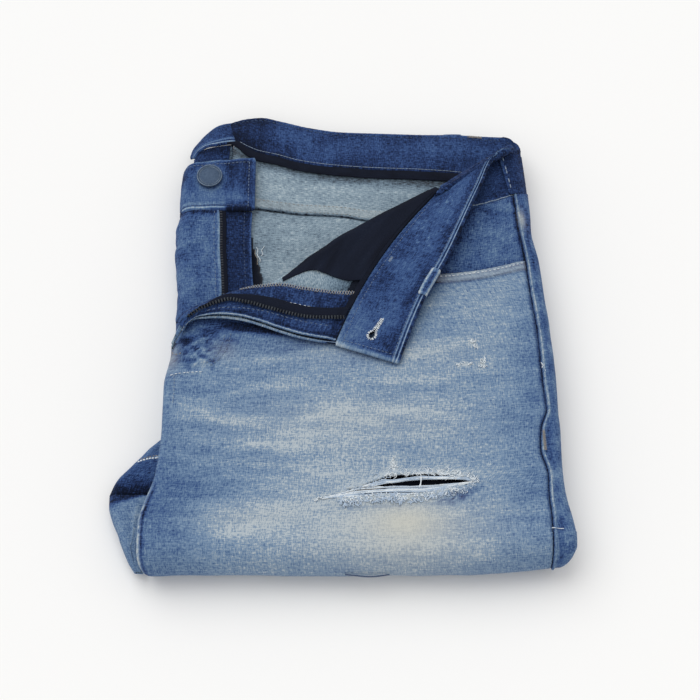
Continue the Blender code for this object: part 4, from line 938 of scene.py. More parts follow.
def makeFray():
    dice = np.random.default_rng(5)
    # long wefts in lanes: each keeps its share of the lower bundle or of the upper one, and sags a little
    n = fray["wefts"] + fray["upperWefts"]
    one = (n, 1)
    number = np.arange(n)[:, None]
    low = number < fray["wefts"]
    lane = (number % fray["lanes"] + 0.5) / fray["lanes"] + dice.normal(0, 0.055, one)
    start = np.where(low, dice.uniform(-13, 2, one), dice.uniform(12, 30, one))
    end = np.where(low, dice.uniform(60, 82, one), dice.uniform(70, 83, one))
    t = steps(30)
    x = start + (end - start) * t
    lane = (lane + 0.1 * noise(x / 17, lane * 19, 41)).clip(0.02, 0.98)
    fan = np.where(low, -1.04 + lane * (at(bundleTop, x) + 1.04),
                   at(upperFoot, x) * (1 - lane) + at(upperTop, x) * lane)
    y = ripMiddle(x) + fan * np.maximum(at(ripShape, x, 2), 0.6)
    z = at(topHeight, y) + 0.7 - 1 * arch(t) * (0.3 + 0.7 * dice.random(one)) + 0.25 * noise(x / 7, y, 43)
    radius = fray["weftRadius"] * dice.uniform(0.6, 1.2, one) * (0.8 + 0.3 * noise(x / 3, y, 44))
    wefts = stack(x, y, z)
    pale = ((number % 3 == 0) | ((end > 74) & low))[:, 0]
    tubes("ripWefts", wefts[pale], radius[pale], 5, threads["white"])
    tubes("ripWeftsBlue", wefts[~pale], radius[~pale], 5, threads["fray"])

    def hairs(x, y, lean, spread, length, thick, lift):
        # short curled threads lying on the cloth from x, y, pointing about the lean
        count = len(x)
        angle = dice.normal(0, spread, count) + np.radians(lean)
        t = steps(5)
        turn = angle[:, None] + dice.normal(0, 0.9, count)[:, None] * t ** 2
        reach = dice.uniform(*length, count)[:, None] * t
        px, py = x[:, None] + reach * np.cos(turn), y[:, None] + reach * np.sin(turn)
        pz = legTop(px, py) + lift + dice.uniform(-0.1, 0.9, count)[:, None] * arch(t)
        return stack(px, py, pz), dice.uniform(*thick, count)[:, None] * (1 - 0.45 * t)

    def lip(count, x0, x1, side, depth, *rest):
        x = dice.uniform(x0, x1, count)
        return hairs(x, ripMiddle(x) + side * (ripHalf(x, side) + dice.uniform(*depth, count)), *rest)

    groups = {
        "ripFringe": (threads["fray"], [
            lip(fray["fringeHairs"], 0, 66, -1, (-0.8, 4.6), -80, 1, (1.2, 3), (0.4, 0.72), 0.35),
            lip(60, 60, 82, -1, (0, 5), -60, 1.2, (0.8, 2), (0.24, 0.44), 0.25),
            lip(fray["lipHairs"], 0, 83, 1, (-0.4, 2.4), 10, 0.6, (1.4, 3.6), (0.24, 0.44), 0.35)]),
        "ripFuzz": (threads["white"], [
            lip(90, 2, 72, -1, (-1, 3.6), -60, 1.2, (1, 2.4), (0.3, 0.56), 0.7),
            lip(30, 64, 82, -1, (0, 4.6), -60, 1.2, (0.8, 1.6), (0.22, 0.36), 0.3),
            lip(80, 26, 82, 1, (-0.2, 1.6), 5, 0.4, (1.6, 4.6), (0.24, 0.4), 0.8)]),
    }
    for cx, cy, rx, ry, turn, count, lean in hairPatches:
        c, s = np.cos(np.radians(turn)), np.sin(np.radians(turn))
        p, q = dice.normal(0, rx / 2, count), dice.normal(0, ry / 2, count)
        fuzz = hairs(cx + p * c - q * s, cy + p * s + q * c, lean, 0.8, (1, 2.6), (0.26, 0.44), 0.1)
        groups["ripFuzz"][1].append(fuzz)
    for name, (skin, parts) in groups.items():
        tubes(name, *[np.concatenate(part) for part in zip(*parts)], 4, skin)
    s = np.array(strands).T[..., None]
    t = steps(9)
    px, py = s[0] + (s[2] - s[0]) * t + s[4] * arch(t), s[1] + (s[3] - s[1]) * t
    pz = legTop(px, py) + 0.6 + 0.3 * arch(t * 2)
    pz = np.where(py < -150, 16.2 + 14.6 * np.sqrt(np.clip(1 - ((py + 150) / 18.2) ** 2, 0, 1)), pz)
    tubes("looseThreads", stack(px, py, pz), s[5] * (1 + 0.25 * arch(t * 3)), 5, threads["white"])
    # a dark thread that hangs from the leg fold
    t = steps(40)
    x = 3 + 27 * t
    y = -168.9 - 0.9 * arch(t) - 0.2 * noise(x / 5, 0 * x, 45)
    line = stack(x, y, 17 + 0.8 * np.cos(t * 5))[None]
    tubes("foldThread", line, np.full((1, 40), 0.42), 5, threads["blue"])


makeFray()
print("rip threads ready")


# left back, round the right side, with the outseam ridge

outseam = {"gap": 0.5, "rise": 1.2, "width": 0.62, "tone": 0.56, "rope": 5.2, "middle": 1.6}


def makeLegBack():
    rise = ((0, -0.4), (1, 0.1), (2, 0.8), (3, 1.4), (4, 3.9), (5, 7.5), (6, 11))
    grid, flats = [], 0
    for row in wrapRows(np.arange(97, leg["noseY"] - 0.1, -1.9)):
        _, seam, right = row[2]
        radius, depth, reach = sideRoll(rightRoll, row[3], 22)
        flat = (right - radius - seam - outseam["gap"]) * np.linspace(0, 1, 14, endpoint=False)
        x = np.concatenate([seam + outseam["gap"] + flat, right - radius + reach])
        grid.append(placeRow(row, x, np.concatenate([0 * flat, depth])))
        flats += row[3] == 0
    grid = np.array(grid)
    columns = grid.shape[1]
    lift = at(rise, np.linspace(0, 6, columns))
    grid[:14, :, 1] += lift * np.linspace(1, 0, 14)[:, None]
    x, y = plan(grid)
    fromSeam = clothMap(grid, column=0)[..., 0]
    ridge = bell(fromSeam, outseam["middle"], outseam["width"])
    rope = np.sin(countAlong(x) * 1.9 * 2 * np.pi / outseam["rope"] + fromSeam * 0.9)
    turnUnder = bell(fromSeam, 0, 0.5)
    move = outseam["rise"] * ridge - 0.9 * turnUnder + 0.18 * rope * ridge
    along = countAlong(x)
    ripple = 0.35 * noise(x / 13 + 8, along / 7, 61) * (np.arange(columns) > 13)
    grid = grid + normalsOf(grid[:, ::-1])[:, ::-1] * (move + ripple)[..., None]
    grid = footBend(grid)
    grid[..., 2] = np.maximum(grid[..., 2], 0)        # flat where it rests
    tone = 0.43 - 0.15 * fade(y, 5, 85)
    tone += outseam["tone"] * ridge * (0.8 + 0.3 * rope) * (1 - 0.6 * fade(-y, 130, 150))
    # painted shade where the cloth turns under at the seam
    tone += mottle(x, along, (0.08, 9, 6, 62), (0.08, 3, 2, 63)) - 0.35 * turnUnder
    depthShade = np.clip((fromSeam - 12) / 10, 0, 1)
    tone += 0.1 * depthShade * (y < -60) - 0.12 * bell(fromSeam, 5, 1.7)
    tone[:, 6:] += 0.05 * np.sin(along[:, 6:] / 2.3 + 2 * noise(along[:, 6:] / 9, x[:, 6:] / 5, 64))
    under = fade(along, flats + 30, flats + 50)
    tone = tone * (1 - under) + 0.52 * under
    # worn place near the waist
    stain = 0.45 * spots(fromSeam, y, ((3, 78, 2.2, 6, 0, 1),))
    tone += 0.5 * stain
    cloth("legBack", "left_back", "faded_denim", grid[:, ::-1], leg["denim"], [denim, wrongSide], tone[:, ::-1],
          stain[:, ::-1], span=(0.05, 0.98))


makeLegBack()
print("left back ready")


# the turned-back corner: panel, facing, zip tape with teeth, pocket bag, binding

corner = {
    "denim": 1.2, "facing": 1.1, "tape": 0.8, "bag": 0.9, "rollGap": 1.15, "tapeGap": 0.8, "bagGap": 0.5,
    "rim": 1.15, "facingInset": 1.75, "facingFrom": 0.75, "waistSetback": 0.012,
}


def cornerGrid(places, low, high, columns):
    # a dense grid on the turned-back panel: places along the fold, limits of the shares across it
    s = places[:, None] + np.zeros(columns)
    t = low[:, None] + (high - low)[:, None] * steps(columns)
    return cornerSurface(s, t), s, t


def lifted(grid, distance):
    # the same cloth moved out along its normals
    return grid + normalsOf(grid) * (0 * grid[..., 0] + distance)[..., None]


def makeCornerPanel():
    # columns stand close together along the rim
    places = np.linspace(0, lastFold - corner["waistSetback"], 120)[::-1]
    edge, foot = foldFrame(places)[:2]
    near = np.arange(9) * 0.42 / np.linalg.norm(foot - edge[:, :2], axis=1)[:, None]
    t = np.hstack([near, near[:, -1:] + (2 - near[:, -1:]) * steps(79)[1:]])
    s = places[:, None] + 0 * t
    grid = cornerSurface(s, t)
    grid = lifted(grid, 0.5 * noise(s * 1.3, t * 2.2, 71) * np.clip((t - 0.15) / 0.3, 0, 1))
    tone = 0.56 + 0.16 * noise(s * 2.2, t * 3, 72) + 0.05 * noise(s * 14, t * 3, 73)
    # painted highlight along the top of the roll, and painted shade where the panel runs under the waistband
    tone += 0.12 * bell(t, 1.05, 0.25)
    tone -= 0.9 * fade(s, 8.1, 8.6) + 0.5 * bell(s, lastFold, 1.5)
    # a worn, pale rim, and beside it a groove darkened by painted shade
    fromRim = clothMap(grid, column=0)[..., 0]
    tone += (0.98 - tone) * bell(fromRim, 0.42, 0.36) - 0.62 * bell(fromRim, 1.5, 0.6)
    cloth("cornerPanel", "left_front_corner", "wrong_side_denim", grid, corner["denim"], [wrongSide, denim],
          tone, on="left_front", span=(-0.3, 1),
          backTone=0.5 + 0 * tone, swap=(fromRim < corner["rim"]) * 1)


def makeFacing():
    places = np.linspace(corner["facingFrom"], 8.9, 150)
    edge, foot = foldFrame(places)[:2]
    start = corner["facingInset"] / np.linalg.norm(foot - edge[:, :2], axis=1)
    grid, s, t = cornerGrid(places, start, foldShare(places, 6), 64)
    s, t = s[::-1], t[::-1]
    # it runs down into the seam of the waistband
    grid = lifted(grid[::-1], corner["facing"] + corner["rollGap"] - 1.9 * fade(s, 8.1, 8.9))
    share = shareAcross(s)
    pucker = 0.22 * np.sin(s * 23 + 1.5 * noise(s * 4, share * 3, 74)) * bell(share, 0, 0.25)
    belly = 0.5 * noise(s * 1.8, share * 2, 75)
    fromEdge = clothMap(grid, column=0)[..., 0]
    grid = lifted(grid, pucker + belly * 0.6 + 0.5 * bell(fromEdge, 1, 0.8))
    tone = 0.175 + 0.05 * noise(s * 3, share * 3, 76) + 0.045 * noise(s * 20, share * 9, 77)
    tone += 0.04 * bell(share, 0.24, 0.16) * (s > 2.5) - 0.08 * bell(fromEdge, 2.6, 1)
    tone += 0.92 * bell(fromEdge, 0.45, 0.42)
    tone += 0.1 * fade(noise(s * 26, share * 16, 78), 0.45, 0.8) * (share > 0.45)
    # lighter towards the fly's foot; painted shade where the facing runs under the waistband
    tone += 0.1 * (1 - fade(s, 0.6, 3.2)) * (share < 0.75) - 0.1 * fade(s, 8, 8.8)
    cloth("flyFacing", "fly_facing", "deep_denim", grid, corner["facing"], [deepDenim, denim], tone,
          on="left_front_corner", span=(0.05, 1))
    return grid


def makeZipTape():
    places = np.linspace(1.25, 8.86, 150)
    near, far = foldShare(places, 7), foldShare(places, 8)
    # only its part beside the teeth shows, and it narrows to nothing at the fly's foot
    grid, s, _ = cornerGrid(places, near, near + (far - near) * (0.1 + 0.5 * fade(places, 1, 3.4)), 18)
    grid = lifted(grid[::-1], corner["facing"] + corner["tape"] + corner["rollGap"] + corner["tapeGap"]
                  - 1.9 * fade(s[::-1], 8.1, 8.9))
    share = shareAcross(grid[..., 0])
    ribs = 0.06 * np.sin(share * 50)
    grid = lifted(grid, ribs - 0.5 * bell(share, 1, 0.12))
    tone = 0.4 + 0.06 * np.sin(share * 40) + 0.08 * bell(share, 0.55, 0.3)
    cloth("zipTapeLeft", "zip_tape_left", "black_cotton", grid, corner["tape"], [blackCotton], tone,
          on="fly_facing")
    return grid


zipTeeth = {"pitch": 1.95, "length": 2.5, "width": 1.15, "height": 1.1}


def teethAlong(name, line, rise, aside, size):
    # small closed blocks with their corners drawn in, one for each pitch of a line
    points, normals = line
    run = runOf(points)
    marks = np.arange(zipTeeth["pitch"] / 2, run[-1], zipTeeth["pitch"])
    middle, ahead, up = between(marks, run, points, np.gradient(points, run, axis=0), normals)
    ahead = unit(ahead)
    up = unit(up - ahead * (up * ahead).sum(axis=1, keepdims=True))
    across = np.cross(up, ahead)
    middle = middle + up * rise + across * aside
    k = np.array([(-1, -1), (1, -1), (1, 1), (-1, 1)], float)
    rings = [middle[:, None]
             + (ahead[:, None] * k[:, :1] * size[0] / 2 + across[:, None] * k[:, 1:] * size[1] / 2) * wide
             + up[:, None] * size[2] / 2 * high for high, wide in ((-1, 0.9), (0.35, 1), (1, 0.6))]
    faces = np.concatenate([ringFaces(3, 4)[0], [[3, 2, 1, 0], [8, 9, 10, 11]]])
    points = np.concatenate(rings, axis=1).reshape(-1, 3)
    made = meshOf(name, points, copies(faces, len(middle), 12), [zipMetal])
    made.data.shade_flat()
    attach(made, "root")


def makeBagUpper():
    places = np.linspace(5.35, 8.6, 90)
    shares = foldShare(places, 9) + 0.04 * bell(places, 6.4, 1.1)
    _, s, t = cornerGrid(places, shares, 1.1 + 0.65 * fade(places, 5.35, 6.6), 60)
    # towards the waistband it widens until it meets the binding
    s = s + fade(s, 7.2, 8.6) * 0.26 * np.clip(t, 0, 1)
    grid = lifted(cornerSurface(s, t)[::-1], corner["bag"] + corner["bagGap"])
    s, t = s[::-1], t[::-1]
    folds = 0.9 * noise(s * 2.3 + t * 1.2, t * 3.1, 81) + 0.35 * noise(s * 5, t * 7, 82)
    edge = fade(s, 5.35, 5.8) * (1 - fade(s, 8, 8.4)) * np.clip((2 - t) / 0.5, 0, 1)
    grid = lifted(grid, folds * edge)
    tone = 0.45 + 0.12 * noise(s * 3, t * 5, 83)
    cloth("pocketBagUpper", "pocket_bag_upper", "black_cotton", grid, corner["bag"], [blackCotton], tone,
          on="left_front_corner")


def makeBindingFront():
    shares = np.linspace(0.2, 1.3, 90)
    inner = 8.56 + 0.26 * np.minimum(shares, 1)
    s = inner[:, None] + (8.96 - inner)[:, None] * steps(9)
    grid = cornerSurface(s, shares[:, None]).transpose(1, 0, 2)
    grid = lifted(grid[::-1], corner["tape"] + 0.35)
    tone = 0.42 + 0.08 * noise(grid[..., 0] / 3, grid[..., 1] / 3, 84)
    cloth("bindingFront", "waistband_tape_front", "black_cotton", grid, corner["tape"], [blackCotton], tone,
          on="left_front_corner")


makeCornerPanel()
facingGrid = makeFacing()
tape = makeZipTape()
size = (zipTeeth["width"], zipTeeth["length"], zipTeeth["height"])
teethAlong("zipTeethLeft", lineOn(tape, [(1, 0), (0.5, 0), (0, 0)], 300), 0.1, -0.2, size)
makeBagUpper()
makeBindingFront()
print("turned-back corner ready")


# waistband of the left front, wrong side out on the corner and right side out at the hip

band = {"thickness": 2.6, "rollRadius": (5.3, 4.2), "rows": 190, "columns": 68}
sideRows = (
    # seam x, y, z, top edge x, y, z
    (69.2, 97.8, 24.8, 114.5, 132.6, 23.5), (86, 88, 24.9, 116, 132.8, 23.1),
    (101, 92, 24.5, 117.2, 133.8, 22.5), (111.5, 96.5, 23.4, 118.1, 135, 21.5),
    (118.5, 99.5, 21.2, 118.8, 137, 20.2), (121.3, 103, 18.7, 118.6, 140, 18.4),
    (120, 108, 16.8, 117.3, 145, 16.8), (115.5, 112, 16, 114, 149.5, 16.2),
    (111, 113.6, 16.6, 109.5, 150.4, 16.5),
)
buttonhole = {"from": (26.5, -1.5), "to": (20.5, -11.5), "width": 4, "eye": (2.6, 1.35)}


def bandRow(seam, top):
    return seam + (top - seam) * steps(5)[:, None]


def bandEnds(q):
    # seam and top edge of the turned-back waistband at a share of its length
    return cornerSurface(lastFold, q) + np.array([0.35, -0.25, 0.4]), rowAt(flapOuterEdge, q)


def waistbandLeftGrid():
    # rows from the buttonhole end over the fold and round the side, columns from seam to top edge
    rows = [bandRow(*bandEnds(q)) for q in (0, 0.2, 0.4, 0.6, 0.8, 0.88, 0.95)]
    side = np.array(sideRows)
    run = side[0, 3:5] - side[0, :2]
    out = unit(np.array([-run[1], run[0], 0]))
    radius = np.linspace(*band["rollRadius"], 5)[:, None]
    for angle in np.radians((90, 50, 10, -30, -65)):
        turned = out * np.cos(angle) + np.array([0, 0, 1 + np.sin(angle)])
        rows.append(bandRow(side[0, :3], side[0, 3:]) + radius * turned)
    return rows + [bandRow(row[:3], row[3:]) for row in side]


def makeWaistbandLeft():
    grid = resample(waistbandLeftGrid(), band["rows"], band["columns"])
    r = shareAlong(grid[..., 0])
    c = shareAcross(grid[..., 0])
    along = runOf(grid.mean(axis=1))[:, None] + 0 * r
    puckerTop = 0.16 * np.sin(along * 2 * np.pi / 4.6) * bell(c, 0.93, 0.06)
    puckerFoot = 0.12 * np.sin(along * 2 * np.pi / 4.1 + 1) * bell(c, 0.06, 0.05)
    groove = ridges(c, (-0.45, 0.966, 0.016), (-0.3, 0.9, 0.018), (-0.35, 0.085, 0.02))
    wave = 0.55 * noise(along / 19, c * 1.6, 91) * arch(c)
    grid = lifted(grid, puckerTop + puckerFoot + groove + wave)
    tone = 0.225 + 0.05 * noise(along / 11, c * 3, 92) + 0.045 * noise(along / 2.5, c * 9, 93)
    # worn pale along the top edge, in two lines with a groove between them darkened by painted shade, and at
    # the end
    edgeLines = ridges(c, (0.8, 0.982, 0.01), (-0.16, 0.958, 0.012), (0.6, 0.93, 0.01))
    tone += edgeLines - 0.1 * bell(c, 1, 0.008)
    tone += ridges(c, (0.12, 0, 0.02), (0.06, 0.5, 0.3), (-0.06, 0.82, 0.07))
    tone += 0.42 * bell(along, 0, 1.4) + 0.2 * bell(np.hypot(along, c * 30), 0, 7)
    tone += 0.12 * bell(c, 0.15, 0.2) * bell(along, 14, 18)
    scuff = bell(noise(along / 4 + c * 3, c * 8, 94), 0, 0.1) * fade(noise(along / 6, c * 4, 95), -0.2, 0.3)
    tone += 0.46 * scuff * bell(along, 106, 27) * bell(c, 0.45, 0.26)
    turned = fade(np.arange(band["rows"]) / band["rows"], 0.6, 0.66)[:, None]
    tone = tone * (1 - turned) + turned * (0.17 + 0.03 * noise(along / 6, c * 4, 96) + 0.12 * bell(c, 0, 0.05)
                                           + 0.8 * edgeLines * (1 - fade(r, 0.66, 0.72)))
    piece = shell("waistbandLeft", grid, band["thickness"], [deepDenim], np.clip(tone, 0.04, 0.95), turned=True)
    # the buttonhole is cut through the band
    tail, tip = np.array(buttonhole["from"]), np.array(buttonhole["to"])
    ahead = unit(tip - tail)
    side = np.array([-ahead[1], ahead[0]]) * buttonhole["width"] / 2
    long, wide = buttonhole["eye"]
    eye = tip + ahead * 1.2
    bow = [eye + ahead * np.cos(a) * long + side * np.sin(a) * wide * 0.8 for a in np.linspace(2.2, -2.2, 12)]
    eye = eye - ahead * long
    ring = np.array([tail + side * 0.2, eye + side * 0.4, *bow, eye - side * 0.4, tail - side * 0.2])
    i = np.arange(len(ring))
    j = (i + 1) % len(i)
    faces = [*stack(i + len(i), j + len(i), j, i).tolist(), i.tolist(), (i + len(i))[::-1].tolist()]
    points = np.vstack([np.insert(ring, 2, z, axis=1) for z in (27, 41)])
    cutter = meshOf("buttonholeCutter", points, faces, [deepDenim])
    hole = piece.modifiers.new("hole", "BOOLEAN")
    hole.operation, hole.object, hole.solver = "DIFFERENCE", cutter, "EXACT"
    graph = bpy.context.evaluated_depsgraph_get()
    cutMesh = bpy.data.meshes.new_from_object(piece.evaluated_get(graph))
    piece.modifiers.clear()
    piece.data = cutMesh
    bpy.data.objects.remove(cutter, do_unlink=True)
    declare(piece, "waistband_left", grid)
    return grid, ring


flapGrid, holeRing = makeWaistbandLeft()
print("left waistband ready")


# inside of the back: waistband, binding, yoke and seat

backRows = (
    # seam x, y, z, top edge x, y, z
    (113.6, 113, 16.4, 112, 150, 16.2), (96, 118, 17, 95, 151, 16), (78, 121, 17.5, 76, 153, 15),
    (50, 123, 18, 50, 154, 14), (24, 124, 18, 24, 155, 14), (-2, 126, 18, 0, 156, 14),
    (-28, 130, 18, -22, 159.5, 14), (-44, 135, 18, -42, 165, 14), (-56, 138, 18, -55, 168, 14),
    (-63, 141.5, 18, -65, 167, 14), (-71, 147, 17.8, -75, 164, 14),
)
turnRows = (
    # seam x, y, z, top edge x, y, z
    (-66, 146, 15.8, -70, 165.5, 12), (-73.5, 146.8, 16.6, -77, 164.4, 13), (-81, 146, 16.9, -86, 161.4, 12.6),
    (-87, 145, 16.6, -91.5, 157, 12), (-92, 144, 16, -96.5, 151.5, 11.4),
    (-97, 141, 15.2, -100.5, 146, 10.8), (-100.6, 136.5, 14, -103, 138.5, 10.2),
)
inside = {"height": 16.5, "bandCrown": 0.4, "tapeWidth": 6.5, "bandThickness": 2.7}
yokeSeam = ((-79, 96.5), (-61, 94), (-41, 91), (-27, 89), (-10, 88), (2, 87), (19, 84),
            (60, 82), (96, 90), (117.5, 99))
seatFoot = ((-79, 14.4), (-40, 16), (0, 36), (40, 50), (119.5, 66))
insideX = (-78, -61, -41, -27, -10, 2, 19, 50, 78, 96, 114.5)


def bandGrid(rows, count, columns):
    # between the two edges of a band's table, a little crowned across
    rows = np.array(rows)
    across = steps(4)[:, None]
    grid = rows[:, None, :3] + (rows[:, None, 3:] - rows[:, None, :3]) * across
    grid[..., 2] += inside["bandCrown"] * 4 * (across * (1 - across))[:, 0]
    return resample(grid, count, columns)


def makeWaistbandBack():
    grid = bandGrid(backRows, 150, 26)
    along = grid[..., 0]
    c = shareAcross(along)
    wave = 0.45 * noise(along / 21, c * 1.5, 101) * arch(c)
    groove = -0.35 * bell(c, 0.93, 0.02) + 0.12 * np.sin(along * 1.5) * bell(c, 0.95, 0.05)
    dip = -0.35 * bell(c, 0.06, 0.02)
    grid = lifted(grid, wave + groove + dip)
    tone = 0.2 + 0.05 * noise(along / 12, c * 3, 102) + 0.035 * noise(along / 1.6, c * 2, 103)
    tone += 0.07 * bell(c, 1, 0.03) - 0.06 * bell(c, 0, 0.1)
    tone -= 0.12 * fade(-along, 38, 62)
    tone += 0.03 * bell(c, 0.55, 0.25)
    cloth("waistbandBack", "waistband_back", "deep_denim", grid, inside["bandThickness"], [deepDenim], tone,
          turned=True)
    return grid


def makeBindingBack():
    x, north = np.array([*[row[:2] for row in backRows[1:]], (-77.5, 146.4)]).T
    grid = resample([stack(x, north - inset, 0 * x + inside["height"] + 1.25)
                     for inset in (0.5, 0.5 + inside["tapeWidth"])], 10, 150)
    share = shareAlong(grid[..., 0])
    # its far end is drawn to a point under the turned waistband
    grid[..., 1] += share * inside["tapeWidth"] * 0.75 * (1 - fade(grid[..., 0], -77, -66))
    grid[..., 2] += 0.35 * arch(share) + 0.18 * noise(grid[..., 0] / 9, share, 104)
    tone = 0.4 + 0.1 * np.sin(share * 30) * 0.3 + 0.08 * noise(grid[..., 0] / 5, share * 2, 105)
    cloth("bindingBack", "waistband_tape_back", "black_cotton", grid, 0.8, [blackCotton], tone, on="yoke_left")


def insideGrid(north, south, shifts, z0, z1, rows, columns):
    # the wrong side of the back between two lines, its ends drawn in from row to row
    x = np.array(insideX)
    coarse = []
    for f in (0, 0.33, 0.67, 1):
        row = x.copy()
        row[[0, -1]] += [np.interp(f, (0, 1), shift) for shift in shifts]
        coarse.append(stack(row, south + (north - south) * f, z0 + (z1 - z0) * f + 0 * x))
    return resample(coarse, rows, columns)


def makeYokeLeft():
    x = np.array(insideX)
    seam = np.array(backRows)[::-1, :2]
    north = np.interp(x, *seam.T) - 1.8
    north[0] = 143.6
    high = inside["height"]
    grid = insideGrid(north, at(yokeSeam, x), ((0, 5.5), (2, 0)), high, high - 0.3, 40, 150)
    x, y = plan(grid)
    fromSeam = y - at(yokeSeam, x)
    hem = 1 - fade(fromSeam, 7.5, 9)
    pucker = 0.12 * np.sin(x * 2 * np.pi / 3.4) * hem
    lift = 0.42 * hem + pucker + 0.4 * noise(x / 23, y / 13, 106)
    lift -= 0.35 * bell(fromSeam, 8.6, 0.8) + 0.45 * bell(fromSeam, 0, 0.7)
    grid[..., 2] += lift
    tone = 0.62 + mottle(x, y, (0.08, 14, 5, 107), (0.07, 4, 1.8, 108))
    # painted shade in the seam's dip and the hem's groove, below the binding and at the left end by the turned
    # waistband
    tone += 0.02 * hem - 0.08 * bell(fromSeam, 8.9, 0.9) - 0.1 * fade(-x, 50, 78) - 0.5 * bell(fromSeam, 0, 1)
    tone -= 0.4 * bell(y, np.interp(x, *seam.T) - 8.5, 4.2)
    tone -= 0.12 * fade(x, 16, 60) + 0.14 * hem * fade(-x, 14, 30)
    tone -= 0.45 * (1 - fade(x, -77, -71)) * fade(y, 118, 128)
    stain = (0.14 * hem + 0.04) * (1 - bell(fromSeam, 0, 1.5))
    cloth("yokeLeft", "yoke_left", "wrong_side_denim", grid, 1.2, [wrongSide, denim], tone, stain,
          span=(0.1, 0.95))


def makeSeatLeft():
    x = np.array(insideX)
    north, south = at(yokeSeam, x) - 0.35, at(seatFoot, x)
    grid = insideGrid(north, south, ((0, 0), (4.5, 2)), inside["height"] - 0.7, inside["height"] - 0.2, 60, 150)
    x, y = plan(grid)
    grid[..., 2] += 0.6 * noise(x / 30, y / 17, 109) - 0.3 * bell(y, at(yokeSeam, x), 0.9)
    grid[..., 2] -= 0.9 * bell(x, -58, 3.5) * bell(y, 52, 14)
    tone = 0.555 + mottle(x, y, (0.08, 16, 5, 110), (0.07, 4, 1.7, 111))
    # darker towards the left, and painted shade in the dip of the yoke seam
    tone -= 0.1 * fade(-x, 28, 52) + 0.35 * bell(y, at(yokeSeam, x) - 0.4, 0.8)
    # deep shade beside the fly shield, wider towards its foot
    reach = 0.2 + 8.6 * np.clip((73 - y) / 38, 0, 1) + 1 * noise(y / 2.2, x * 0, 115) * (y < 66)
    wedge = (1 - fade(x + 60, reach * 0.75, reach * 1.15)) * fade(-y, -76, -70)
    tone -= 1.3 * wedge
    tone += 0.1 * bell(x, -40, 14) * bell(y, 40, 20)
    cloth("seatLeft", "seat_left", "wrong_side_denim", grid, 1.2, [wrongSide, denim], tone,
          0.05 * (1 - wedge), span=(-0.6, 0.95))


def makeWaistbandTurn():
    grid = bandGrid(turnRows, 60, 44)
    along = np.arange(60)[:, None] + 0 * grid[..., 0]
    c = shareAcross(along)
    grid = lifted(grid, 0.35 * noise(along / 9, c * 2, 112) - 0.3 * bell(c, 0.9, 0.03))
    tone = 0.19 + 0.06 * fade(along, 5, 40) + 0.03 * noise(along / 6, c * 3, 113) + 0.8 * bell(c, 0.05, 0.03)
    tone += ridges(c, (0.34, 0.2, 0.035), (-0.08, 0.11, 0.03), (-0.06, 0, 0.02), (0.06, 1, 0.05))
    cloth("waistbandRightBack", "waistband_right_back", "deep_denim", grid, 2.3, [deepDenim], tone,
          turned=True, span=(0.04, 0.9))
    return grid


def makeYokeRight():
    rows = np.array(turnRows)
    north = rows[:, 1] - 2.2
    coarse = []
    for f, firstX, z in ((0, -77.6, 15.4), (0.5, -76, 15.5), (1, -74.8, rows[:, 2] - 1)):
        x = np.concatenate([[firstX], rows[1:-1, 0], [-100]])
        coarse.append(stack(x, 118 + (north - 118) * f, z + 0 * x))
    grid = resample(np.array(coarse)[:, ::-1], 28, 40)
    x, y = plan(grid)
    tone = 0.17 + 0.03 * noise(x / 6, y / 5, 114) - 0.1 * fade(y, 134, 142)
    cloth("yokeRight", "yoke_right", "deep_denim", grid, 1.2, [deepDenim, wrongSide], tone)


backBand = makeWaistbandBack()
makeBindingBack()
makeYokeLeft()
makeSeatLeft()
turnGrid = makeWaistbandTurn()
makeYokeRight()
print("inside of the back ready")


# right front round the left side: panel, fly shield, zip tape, buttoned end of the waistband

rightFrontRows = (
    # y, zip line, left edge, top z
    (87.6, -81.2, -107.5, 23.8), (76, -80.6, -109.8, 23.4), (60, -80.2, -110, 23.2),
    (46, -79.2, -108.6, 23), (30, -78.2, -107.4, 22.8), (10, -77.4, -107, 22.6), (-14, -77, -107.6, 22.4),
)
shieldEdge = ((88.8, -59.5), (74, -60), (48, -59), (20, -57), (-12, -57))
buttonEndRows = (
    # y at the left, rise to the right end, left edge, top z
    (88.2, 1.6, -108, 24.2), (97, 2.4, -108.2, 24.5), (106, 3.4, -107.8, 24.6),
    (115, 4.4, -107.4, 24.5), (122, 5.6, -106.6, 24.2), (124.2, 5.8, -105.6, 23.8),
)
wrap = {"turn": 9, "low": 1.9, "frontEnd": 17, "droop": 0.5, "bandEnd": 15, "bandRight": -58.5,
        "bandDroop": 2}


def sideSection(y, xIn, droop, xLeft, turn, top, low, xEnd, flats=26, count=26):
    # a section of cloth round the left side: across the top, half a round, and in again below
    angle = np.radians(np.linspace(90, 270, count))
    half = (top - low) / 2
    roundX = xLeft + turn + turn * np.cos(angle)
    roundZ = low + half + half * np.sin(angle)
    share = np.linspace(0, 1, flats, endpoint=False)
    flatX = xIn + (roundX[0] - xIn) * share
    flatZ = top - droop * (1 - share) ** 2
    under = np.linspace(roundX[-1], xEnd, 7)[1:]
    x, z = np.concatenate([flatX, roundX, under]), np.concatenate([flatZ, roundZ, 0 * under + low])
    return stack(x, y + 0 * x, z)


